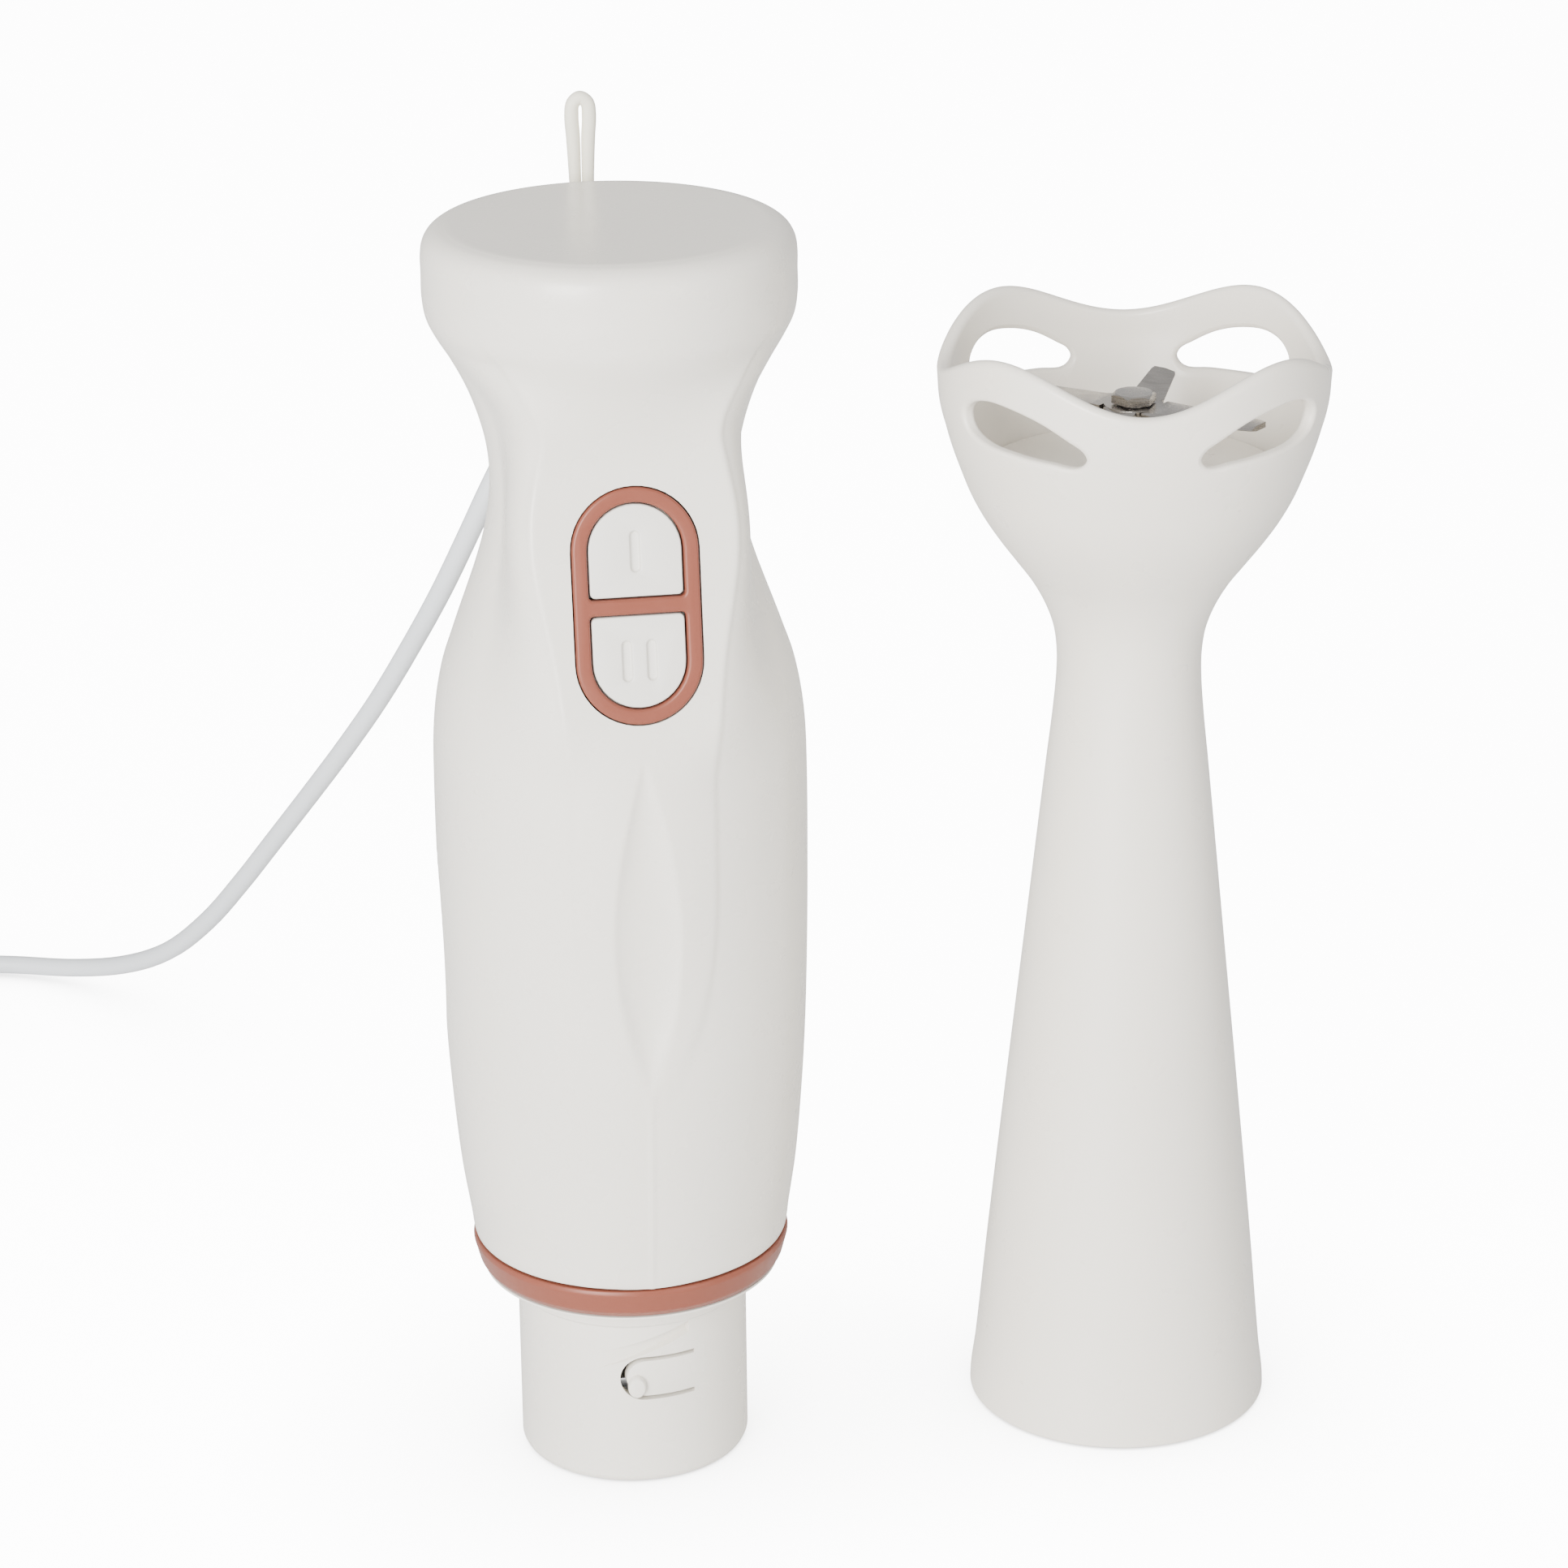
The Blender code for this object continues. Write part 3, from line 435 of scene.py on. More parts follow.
def gland_place():
    """Where the cord leaves the housing, with Z along the cord."""
    turn = GLAND_WAY.to_track_quat("Z", "Y").to_matrix().to_4x4()
    return Matrix.Translation(GLAND * MM) @ turn


def make_strain_relief():
    """Tapered sleeve with flex ribs cut across it."""
    profile = [(0, -6.4), (5.2, -6.4), (5.2, -4.7), (4.05, -4.6), (4.05, 0.9), (4.35, 1.3), (4.3, 3.2)]
    for k in range(RIBS):
        z = 4.0 + k * RIB_PITCH
        radius = 4.2 - 0.055 * z
        profile += [(radius, z), (radius - RIB_CUT, z + 0.35), (radius - RIB_CUT, z + 0.95),
                    (radius - 0.1, z + 1.3), (radius - 0.12, z + 2.7)]
    profile += [(2.85, 28.6), (2.6, 29.4), (2.05, 29.5), (0, 29.5)]
    relief = lathe("cord_sleeve", profile, (0, 0, 0), 64)
    relief.data.transform(gland_place())
    return show(relief, "motor_unit", "strain_relief")


def make_tie():
    """Band around the coil at its near side."""
    outline = rounded([(-6.2, -4.15), (6.2, -4.15), (6.2, 4.15), (-6.2, 4.15)], 2.0, 5)
    centre = COIL_AT + Vector((0, -24, COIL_LOW + CORD_D / 2))
    thick, wide = 0.45, 2.2

    def section(i):
        p = outline[i]
        a, b = outline[i - 1], outline[(i + 1) % len(outline)]
        along = (b - a).normalized()
        out = Vector((along.y, -along.x))
        corners = [(-wide, 0), (wide, 0), (wide, thick), (-wide, thick)]
        return [centre + Vector((x, p.x + out.x * n, p.y + out.y * n)) for x, n in corners]
    tie = sweep("tie_band", outline, section, closed=True)
    bevelled(tie, 0.12, 2, 50)
    return show(tie, "motor_unit", "cord_tie")


PLUG = Vector((-224.0, 157.6, 6.9))


def make_plug():
    """Flat two-pin plug with a ribbed tail."""
    half = [(4.0, 0.4), (5.2, 6), (8.2, 11.5), (12.6, 19), (16.6, 26.5), (17.4, 31), (17.3, 35.7)]
    outline = [Vector((p.x, -p.y)) for p in smooth([(x, y, 0) for x, y in half], 5)]
    outline += [Vector((-p.x, p.y)) for p in reversed(outline)]
    body = prism("plug_body", outline, -6.7, 6.7, Matrix.Translation(PLUG))
    bevelled(body, 2.2, 5, 30)
    profile = [(0, 0.6), (2.1, 0.6), (2.6, 0.8), (2.75, 2.0), (2.45, 2.3), (2.5, 2.9), (3.0, 3.2),
               (3.15, 4.4), (2.85, 4.7), (2.9, 5.3), (3.5, 5.7), (4.0, 7.5), (4.0, 9.0), (0, 9.0)]
    tail = lathe("plug_tail", [(r, 6.5 - z) for r, z in profile], (0, 0, 0), 40)
    tail.data.transform(Matrix.Translation(PLUG * MM) @ Matrix.Rotation(-math.pi / 2, 4, "X"))
    tail.data.flip_normals()
    boolean(body, tail, operation="UNION")
    shaded(body, 35)
    show(body, "motor_unit", "mains_plug")
    pins = []
    for name, x in (("plug_pin_left", -9.3), ("plug_pin_right", 9.3)):
        shape = [(0, 35.9), (2.0, 35.9), (2.0, 45.4), (1.9, 45.6), (1.9, 53.4), (1.5, 54.5), (0.7, 54.95),
                 (0, 55)]
        pin = lathe(name + "_rod", shape, (0, 0, 0), 32)
        pin.data.transform(Matrix.Translation((PLUG + Vector((x, 0, 0))) * MM)
                           @ Matrix.Rotation(math.pi / 2, 4, "X"))
        pins.append(show(pin, "motor_unit", name))
    return [body, *pins]


def make_cord_set():
    cord, start, length = make_cord()
    pieces = [make_strain_relief(), make_tie(), *make_plug()]


# Motor unit housing ------------------------------------------------------------------
HOUSING = [
    (26.9, 41.7), (27.35, 41.85), (27.6, 42.5), (28.1, 46), (29.4, 55), (30.4, 66), (31.2, 79), (31.7, 95),
    (31.9, 112), (31.9, 127), (31.65, 136), (31.0, 142), (29.75, 148), (28.4, 152), (26.9, 156.3),
    (25.2, 161), (23.6, 165.6), (22.2, 170.4), (21.2, 175.6), (20.8, 181), (21.2, 186.4), (22.4, 191.6),
    (24.4, 197.2), (27.0, 202.4), (29.3, 206.2), (30.5, 208.8), (31.0, 212), (31.0, 216), (31.0, 219.0),
    (30.7, 220.8), (29.9, 222.2), (28.5, 223.2), (26.7, 223.68),
]
PANEL = [(41, 27.6), (55, 29.8), (70, 31.0), (85, 31.6), (112, 31.86), (130, 31.86), (140, 31.25),
         (147, 29.95), (152, 28.96), (160, 27.52), (168, 26.08), (176, 24.64), (182, 23.6), (187, 23.1),
         (191.6, 23.4), (197.2, 25.1), (202.4, 27.4), (206.2, 29.5), (208.8, 30.6), (212, 31.0)]
PANEL_HALF, PANEL_TIP, PANEL_TAPER = 12.0, 78.6, 117.0
GROOVE_MIDDLE, GROOVE_UP, GROOVE_DOWN, GROOVE_HALF, GROOVE_DEEP = 110.0, 31.0, 28.0, 5.6, 1.5
PANEL_FLARE, PANEL_STEP, PANEL_FALL = 13.0, 0.3, math.radians(36)
HOLLOW_AZ, HOLLOW_MIDDLE, HOLLOW_REACH, HOLLOW_HALF, HOLLOW_DEEP = math.radians(97), 97.0, 17.0, 6.5, 0.8
PARTING_Y, PARTING_GAP, REAR_TOP = 14.8, 0.3, 220.9
SHELL_WALL, SHELL_COLUMNS, FRONT_COLUMNS = 1.9, 330, 220
CAP_RINGS = (0.96, 0.8, 0.55, 0.3, 0.02)
SCREW_X, SCREW_Z = 17.0, 132.0
PAD_NORMAL = Vector((0, -1, 0.18)).normalized()
BEZEL_AT = UNIT + Vector((0, -26.44, 166.0))
PAD = frame_matrix(BEZEL_AT, (1, 0, 0), PAD_NORMAL.cross(Vector((1, 0, 0))), PAD_NORMAL)


def panel_half(z):
    """Half width of the raised front panel at a height; it flares under the cap and ends in a tip."""
    if z < PANEL_TAPER:
        down = min(1.0, (PANEL_TAPER - z) / (PANEL_TAPER - PANEL_TIP))
        return PANEL_HALF * (1 - down ** 2.3) ** 0.72
    return PANEL_HALF + PANEL_FLARE * float(step(z, 191, 214)) ** 1.3


def groove_depth(across, z):
    """Lens-shaped thumb groove down the panel's middle."""
    reach = (z - GROOVE_MIDDLE) / (GROOVE_UP if z > GROOVE_MIDDLE else GROOVE_DOWN)
    if abs(reach) >= 1:
        return np.zeros_like(across)
    half = GROOVE_HALF * (1 - abs(reach) ** (1.6 if reach > 0 else 2.4))
    inside = np.clip(1 - (across / max(half, 0.05)) ** 2, 0, 1)
    return GROOVE_DEEP * inside ** 0.8 * min(1, half / GROOVE_HALF * 1.3)


def side_hollow(angle, z, radius):
    """Shallow finger hollow low down on each side."""
    reach = (z - HOLLOW_MIDDLE) / HOLLOW_REACH
    if abs(reach) >= 1:
        return np.zeros_like(angle)
    across = (np.abs(angle) - HOLLOW_AZ) * radius
    inside = np.clip(1 - (across / (HOLLOW_HALF * (1 - reach**2) ** 0.6 + 0.05)) ** 2, 0, 1)
    return HOLLOW_DEEP * inside ** 1.2


def housing_radii(radius, z, angle):
    """Radius of the housing at angles from its front: a round body with the raised panel.

    The panel is flat behind the switches. Its edge stands proud of the sides and falls away to them.
    """
    front = float(np.interp(z, [p[0] for p in PANEL_CURVE], [p[1] for p in PANEL_CURVE]))
    front = max(front, radius - 0.04) if z < PANEL[-1][0] else radius
    flat = float(step(z, 134, 149) * (1 - step(z, 190, 207)))
    edge = math.asin(min(0.9, panel_half(z) / radius))
    off = np.abs(angle)
    across = front * ((1 - flat) + flat / np.cos(np.minimum(off, 1.0)))
    proud = front * ((1 - flat) + flat / math.cos(edge)) - radius
    dip = PANEL_STEP * float(step(z, PANEL_TIP - 6, PANEL_TIP + 10) * (1 - step(z, 138, 146)))
    raised = max(dip, min(PANEL_STEP, max(0, proud)))
    fall = np.clip((off - edge) / PANEL_FALL, 0, 1)
    side = radius + (proud - raised) * np.cos(fall * math.pi / 2) ** 2
    inside = step(edge * radius - off * radius, -0.9, 0.5)
    radii = side * (1 - inside) + across * inside
    return radii - groove_depth(np.sin(angle) * radius, z) - side_hollow(angle, z, radius)


PANEL_CURVE = [(p.x, p.y) for p in smooth([(z, r, 0) for z, r in PANEL], 6)]


def housing_columns(radius):
    """Angles from the front for one row: front columns between the partings, then rear ones."""
    front_edge = math.pi / 2 + math.asin(PARTING_Y / radius)
    rear_edge = math.pi / 2 + math.asin((PARTING_Y + PARTING_GAP) / radius)
    share = np.linspace(-1, 1, FRONT_COLUMNS)
    front = front_edge * (0.72 * share + 0.28 * share**3)
    rear = np.linspace(rear_edge, 2 * math.pi - rear_edge, SHELL_COLUMNS - FRONT_COLUMNS)
    return np.concatenate([front, rear])


def make_housing():
    """Front and rear mouldings from one grid of points; the gap between them is the parting seam."""
    rows = [(p.x, p.y) for p in smooth([(r, z, 0) for r, z in HOUSING], 7)]
    verts = []
    for radius, z in rows:
        angle = housing_columns(radius)
        radii = housing_radii(radius, z, angle)
        verts += [(r * math.sin(a), -r * math.cos(a), z) for r, a in zip(radii, angle)]
    rim = verts[-SHELL_COLUMNS:]
    for share in CAP_RINGS:
        verts += [(x * share, y * share, z) for x, y, z in rim]
    seam_row = min(range(len(rows)), key=lambda i: abs(rows[i][1] - REAR_TOP))
    front, rear = [], []
    for face in grid_faces(len(rows) + len(CAP_RINGS), SHELL_COLUMNS, True):
        row, column = divmod(face[0], SHELL_COLUMNS)
        if row >= seam_row or column < FRONT_COLUMNS - 1:
            front.append(face)
        elif row < seam_row - 1 and FRONT_COLUMNS <= column < SHELL_COLUMNS - 1:
            rear.append(face)
    front.append(tuple(range(len(verts) - SHELL_COLUMNS, len(verts))))
    opening = prism("opening", stadium(BEZEL_W + 0.5, BEZEL_H + 0.5, 24), -9, 4, PAD)
    make_shell("front_housing", verts, front, "front_shell", [opening])
    make_shell("rear_housing", verts, rear, "rear_shell", [gland_hole(), loop_slot(), *screw_holes()])


def make_shell(name, verts, faces, node, tools):
    """Housing moulding from some faces of the grid, given a wall inwards and cut by tools."""
    used = sorted({v for face in faces for v in face})
    index = {v: i for i, v in enumerate(used)}
    shell = mesh_object(name, [verts[v] for v in used], [tuple(index[v] for v in f) for f in faces], UNIT)
    mod = shell.modifiers.new("wall", "SOLIDIFY")
    mod.thickness = SHELL_WALL * MM
    mod.offset = -1
    baked(shell)
    boolean(shell, *tools)
    shaded(shell, 42)
    show(shell, "motor_unit", node)


def gland_hole():
    hole = lathe("hole", [(0, -9), (4.6, -9), (4.6, 9), (0, 9)], (0, 0, 0), 48)
    hole.data.transform(gland_place())
    return hole


def loop_slot():
    outline = rounded([(-3.0, -1.7), (3.0, -1.7), (3.0, 1.7), (-3.0, 1.7)], 1.2, 4)
    place = frame_matrix(UNIT + Vector((0, 0, 211.9)), (1, 0, 0), (0, 0, -1), (0, 1, 0))
    return prism("slot", outline, 20, 40, place)


def screw_place(side):
    """Screw's place in the rear shell, with Z pointing back."""
    return (Matrix.Translation((UNIT + Vector((side * SCREW_X, 0, SCREW_Z))) * MM)
            @ Matrix.Rotation(-math.pi / 2, 4, "X"))


def screw_holes():
    holes = []
    for side in (-1, 1):
        profile = [(0, 18), (1.6, 18), (2.8, 18), (2.8, 40), (0, 40)]
        hole = lathe("hole", profile, (0, 0, 0), 32)
        hole.data.transform(screw_place(side))
        holes.append(hole)
    return holes


def make_trim_ring():
    profile = rounded([(24.2, 35.9), (26.1, 35.9, 0.5), (26.95, 37.0, 1.5), (27.9, 40.6, 1.0),
                       (27.65, 41.4, 0.35), (24.2, 41.4)], 0.15, 5)
    ring = lathe("decor_ring", profile, UNIT, 192, closed=True)
    show(ring, "motor_unit", "trim_ring")


# Switches ----------------------------------------------------------------------------
BEZEL_W, BEZEL_H, BEZEL_BAND, BEZEL_BAR = 20.9, 39.3, 2.5, 2.6
BUTTON_W = BEZEL_W - 2 * BEZEL_BAND - 0.6
BUTTON_H = (BEZEL_H - 2 * BEZEL_BAND - BEZEL_BAR) / 2 - 0.6
BUTTON_FOOT = BEZEL_BAR / 2 + 0.3
STEM_Y, STEM_R = BUTTON_FOOT + BUTTON_H / 2, 1.2
BAR_W, BAR_H, BAR_DEEP = 1.6, 6.8, 0.6


def stadium(width, height, steps=16):
    """Upright outline with straight sides and round ends."""
    radius, straight = width / 2, (height - width) / 2
    top = [Vector((radius * math.cos(math.pi * k / steps), straight + radius * math.sin(math.pi * k / steps)))
           for k in range(steps + 1)]
    return top + [-p for p in top]


def half_stadium(width, height, foot, corner, steps=20):
    """Upper half of a stadium, from a straight foot with rounded corners to a round top."""
    radius = width / 2
    centre = foot + height - radius
    top = [(radius * math.cos(math.pi * k / steps), centre + radius * math.sin(math.pi * k / steps), 0)
           for k in range(steps + 1)]
    return rounded(top + [(-radius, foot, corner), (radius, foot, corner)], 0, 6)


def make_bezel():
    """Stadium band with a crossbar, softly rounded along both edges."""
    band = prism("bezel", stadium(BEZEL_W, BEZEL_H, 40), -2.4, 0.5, PAD)
    width, height = BEZEL_W - 2 * BEZEL_BAND, (BEZEL_H - 2 * BEZEL_BAND - BEZEL_BAR) / 2
    tools = []
    for turn in (1, -1):
        outline = [Vector((p.x * turn, p.y * turn))
                   for p in half_stadium(width, height, BEZEL_BAR / 2, 0.9)]
        tools.append(prism("window", outline, -6, 4, PAD))
    boolean(band, *tools)
    bevelled(band, 0.55, 4, 40)
    show(band, "motor_unit", "switch_bezel")


def make_button(name, turn, marks):
    """Speed button with sunk bars, a flange behind the bezel and a stem."""
    flip = Matrix.Rotation(0 if turn > 0 else math.pi, 4, "Z")
    cap = prism(name + "_cap", half_stadium(BUTTON_W, BUTTON_H, BUTTON_FOOT, 1.0), -3.2, 0.15, PAD @ flip)
    bars = []
    for x in marks:
        place = PAD @ flip @ Matrix.Translation((x, STEM_Y - 0.2, 0))
        bars.append(prism("bar", stadium(BAR_W, BAR_H, 10), -BAR_DEEP, 2, place))
    boolean(cap, *bars)
    bevelled(cap, 0.3, 3, 40)
    brim = half_stadium(BUTTON_W + 1.6, BUTTON_H + 1, BUTTON_FOOT - 0.2, 1.2)
    flange = prism("flange", brim, -3.7, -2.8, PAD @ flip)
    circle = [Vector((STEM_R * math.cos(a), STEM_Y + STEM_R * math.sin(a)))
              for a in (2 * math.pi * k / 24 for k in range(24))]
    stem = prism("stem", circle, -8.5, -3.2, PAD @ flip)
    boolean(cap, flange, stem, operation="UNION")
    shaded(cap, 30)
    show(cap, name, name)


# Coupling spigot ---------------------------------------------------------------------
LATCH_AZ = math.radians(5)
LATCH_Z, LATCH_LEN, LATCH_TALL, LATCH_SLOT = 20.5, 13.4, 8.4, 0.8
TONGUE_SHIFT = 0.35
NUB_AZ, NUB_Z, NUB_STRETCH = math.radians(6), 19.2, 1.3
# Bayonet channels: heights of both edges at each end, start and reach round the spigot in degrees,
# radius of the floor at the start, how much deeper it gets and how soon.
RAMP_FOOT, RAMP_TOP = (21.8, 28.3), (25.2, 30.5)
RAMP_FROM, RAMP_REACH, RAMP_STEPS = -28, 49.5, 24
RAMP_FLOOR, RAMP_DEEP, RAMP_PACE = 20.3, 1.55, 1.3


def latch_outline(margin, root_margin, steps=20):
    """Tongue's outline, round at its tip and square at its root, drawn in by margins."""
    radius = LATCH_TALL / 2 - margin
    root = LATCH_LEN / 2 - root_margin
    centre = -LATCH_LEN / 2 + LATCH_TALL / 2
    arc = [Vector((centre + radius * math.cos(a), radius * math.sin(a)))
           for a in (math.pi / 2 + math.pi * k / steps for k in range(steps + 1))]
    return arc + [Vector((root, -radius)), Vector((root, radius))]


LATCH_OUT = Vector((math.sin(LATCH_AZ), -math.cos(LATCH_AZ), 0))
LATCH = frame_matrix(UNIT + Vector((0, 0, LATCH_Z)), Vector((0, 0, 1)).cross(LATCH_OUT), (0, 0, 1), LATCH_OUT)


def ramp_tool(start):
    """Slanting bayonet channel that deepens from its low end and stops at a blunt one."""
    sections = []
    for k in range(RAMP_STEPS + 1):
        t = k / RAMP_STEPS
        angle = start + math.radians(RAMP_FROM + RAMP_REACH * t)
        floor = RAMP_FLOOR - RAMP_DEEP * min(1.0, RAMP_PACE * t)
        way = Vector((math.cos(angle), math.sin(angle), 0))
        foot, top = (low + (high - low) * t for low, high in (RAMP_FOOT, RAMP_TOP))
        sections.append([UNIT + way * r + Vector((0, 0, z))
                         for r, z in ((floor, foot + 0.3), (22, foot - 0.3), (22, top), (floor, top))])
    return sweep("ramp", sections, lambda i: sections[i])


def make_spigot():
    profile = rounded([
        (18.07, 0.4, 0.2), (18.5, 0, 0.2), (19.8, 0, 0.6), (20.27, 1.0, 1.2), (20.27, 30.6, 0.3),
        (20.9, 31.2, 0.2), (20.9, 32.6, 0.3), (26.1, 35.2, 0.2), (26.1, 35.6, 0.1), (23.9, 35.6, 0.1),
        (23.9, 45), (21.6, 45), (21.6, 34.5), (6.3, 34.5), (6.3, 30), (18.07, 30)], 0.2, 4)
    spigot = lathe("spigot", profile, UNIT, 160, closed=True, sharp=35)
    window = prism("window", latch_outline(0, 0), 15, 24, LATCH)
    boolean(spigot, window, ramp_tool(FRONT), ramp_tool(-FRONT))
    shaded(spigot, 35)
    show(spigot, "motor_unit", "coupling_spigot")


def make_latch():
    wall = lathe("latch_tab", [(18.4, 14), (20.25, 14), (20.25, 27), (18.4, 27)], UNIT, 240, closed=True)
    place = LATCH @ Matrix.Translation((TONGUE_SHIFT, 0, 0))
    boolean(wall, prism("tongue", latch_outline(LATCH_SLOT, 0.05), 15, 24, place), operation="INTERSECT")
    bevelled(wall, 0.15, 2, 50)
    nub = lathe("nub", [(0, 19), (1.6, 19), (1.6, 21.0), (1.35, 21.45), (0.9, 21.6), (0, 21.6)],
                (0, 0, 0), 32)
    angle = FRONT - NUB_AZ
    way = Vector((math.cos(angle), math.sin(angle), 0))
    nub.data.transform(Matrix.Translation((UNIT + Vector((0, 0, NUB_Z))) * MM)
                       @ Matrix.Scale(NUB_STRETCH, 4, (0, 0, 1))
                       @ way.to_track_quat("Z", "Y").to_matrix().to_4x4())
    boolean(wall, nub, operation="UNION")
    shaded(wall, 35)
    show(wall, "latch", "latch_tongue")


def make_loop():
    """Moulded rubber hairpin: two thick strands that nearly touch and open into an eye at the top."""
    side = [(1.05, 24.5, 211.9, 1.0), (1.05, 28.0, 211.9, 1.0), (1.05, 31.0, 212.1, 1.0),
            (1.04, 33.4, 213.9, 1.0), (1.04, 34.4, 217.5, 1.0), (1.12, 34.7, 223.0, 1.08),
            (1.3, 34.6, 229.5, 1.22), (1.5, 34.5, 233.2, 1.24), (1.2, 34.4, 235.4, 1.2)]
    path = side + [(0, 34.4, 236.28, 1.18)] + [(-x, y, z, r) for x, y, z, r in reversed(side)]
    points = smooth([UNIT + Vector(p[:3]) for p in path], 6)
    radii = np.interp(range(len(points)), np.linspace(0, len(points) - 1, len(path)), [p[3] for p in path])
    loop = tube("hang_loop", points, 1, 6, radii)
    show(loop, "motor_unit", "hanging_loop")


def make_screws():
    """Cross-head screws in the rear shell's wells."""
    profile = [(0, 12), (1.2, 12), (1.2, 22.4), (2.0, 22.4), (2.2, 22.6), (2.2, 23.4), (1.9, 24.0),
               (1.2, 24.3), (0, 24.4)]
    for name, side in (("housing_screw_left", -1), ("housing_screw_right", 1)):
        screw = lathe(name + "_head", profile, (0, 0, 0), 48)
        arms = []
        for w, h in ((0.28, 1.35), (1.35, 0.28)):
            outline = [Vector((x * w, y * h)) for x, y in ((-1, -1), (1, -1), (1, 1), (-1, 1))]
            arms.append(prism("arm", outline, 23.3, 26))
        boolean(screw, *arms)
        screw.data.transform(screw_place(side))
        show(screw, "motor_unit", name)


# Blending leg ------------------------------------------------------------------------
RIM_Z, RIM_WAVE, RIM_WAVE_FROM = 197.55, 3.35, 184.0
RIM_OUTSIDE, RIM_INSIDE = 33.5, 31.05
WALL, LEG_SIDES = 2.4, 288
LEG_OUTER = [(26.4, 0.0), (26.75, 0.25), (26.8, 0.8), (25.9, 9), (23.9, 30), (20.8, 60), (17.6, 90),
             (14.2, 122), (13.1, 132), (12.6, 138.5), (12.6, 142.5), (13.2, 147), (14.7, 151.3),
             (17.2, 155.9), (20.2, 160), (23.1, 163.9), (25.8, 168), (27.9, 172), (29.5, 176),
             (31.1, 180.5), (32.2, 184.5), (32.9, 188), (33.25, 191), (33.4, 194.2)]
LEG_INNER = [(24.0, 0.0), (23.0, 0.6), (22.1, 1.6), (22.1, 1.6), (22.1, 39.4), (22.1, 39.4), (20.4, 39.6),
             (20.4, 39.6), (18.4, 60), (15.2, 90), (10.2, 138), (10.2, 143), (11.0, 148), (13.0, 153.3),
             (17.8, 160), (23.4, 168), (27.1, 176), (29.8, 184.5), (30.8, 191), (31.0, 194.2)]
WINDOW = [(9.6, 186.4), (10.2, 187.8), (12.4, 189.3), (16.5, 191.7), (21, 193.2), (25, 193.6), (27.4, 192.6),
          (28.8, 190.2), (28.4, 187.3), (26.5, 186.0), (22, 185.4), (15.5, 185.0), (10.9, 184.9)]
WINDOW_R = 32.5
EDGE_ROUND = 0.85


def leg_profile():
    """Closed section of the leg's wall, up the outside, over the round rim and down the inside."""
    outer = smooth([(r, z, 0) for r, z in LEG_OUTER], 6)
    inner = smooth([(r, z, 0) for r, z in LEG_INNER], 6)
    arc = []
    middle_r, radius = (RIM_OUTSIDE + RIM_INSIDE) / 2, (RIM_OUTSIDE - RIM_INSIDE) / 2
    for k in range(13):
        angle = math.pi * k / 12
        height = RIM_Z - radius + radius * math.sin(angle)
        arc.append(Vector((middle_r + radius * math.cos(angle), height, 0)))
    return [(p.x, p.y) for p in outer + arc + inner[::-1]]


def rim_lift(z, angle):
    """Wave that lifts and lowers the guard's rim four times round, and fades out down the leg."""
    return -RIM_WAVE * max(0.0, (z - RIM_WAVE_FROM) / (RIM_Z - RIM_WAVE_FROM)) * math.cos(4 * angle)


def wall_radius(z):
    """Outside radius of the blade guard at a height."""
    band = [(z0, r) for r, z0 in LEG_OUTER if z0 > 150]
    return float(np.interp(z, [p[0] for p in band], [p[1] for p in band]))


def window_tool(outline):
    """Cutter that widens towards both faces of the wall, so the window's edge comes out round."""
    depths = [(-4.0, EDGE_ROUND + 0.8), (-0.05, EDGE_ROUND)]
    for k in range(1, 7):
        d = EDGE_ROUND * k / 6
        depths.append((d, EDGE_ROUND - math.sqrt(EDGE_ROUND**2 - (EDGE_ROUND - d) ** 2)))
    depths += [(WALL - d, grow) for d, grow in reversed(depths[1:])] + [(WALL + 1.2, EDGE_ROUND + 0.4)]
    count = len(outline)
    sections = []
    for depth, grow in depths:
        ring = []
        for i, p in enumerate(outline):
            along = (outline[(i + 1) % count] - outline[i - 1]).normalized()
            u, z = p.x - along.y * grow, p.y + along.x * grow
            radius = wall_radius(z) - depth
            angle = FRONT + math.asin(p.x / WINDOW_R) + (u - p.x) / WINDOW_R
            ring.append(Vector((radius * math.cos(angle), radius * math.sin(angle), z)))
        sections.append(ring)
    return sections


def make_leg_housing():
    profile = leg_profile()
    profile.append(profile[0])
    angles = [2 * math.pi * k / LEG_SIDES for k in range(LEG_SIDES)]
    verts = [(r * math.cos(a), r * math.sin(a), z + rim_lift(z, a)) for r, z in profile for a in angles]
    leg = mesh_object("blend_leg", verts, grid_faces(len(profile), LEG_SIDES, True))
    outline = smooth([(x, z, 0) for x, z in WINDOW], 5, closed=True)
    tools = []
    for side in (1, -1):
        for half_turn in (0, math.pi):
            sections = window_tool(outline)
            turn = Matrix.Rotation(half_turn, 3, "Z") @ Matrix.Diagonal((side, 1, 1))
            tools.append(sweep("window", sections, lambda i: [turn @ p for p in sections[i]]))
    boolean(leg, *tools)
    leg.data.transform(Matrix.Translation(LEG * MM) @ Matrix.Rotation(LEG_TURN, 4, "Z"))
    shaded(leg, 38)
    show(leg, "leg", "leg_housing")


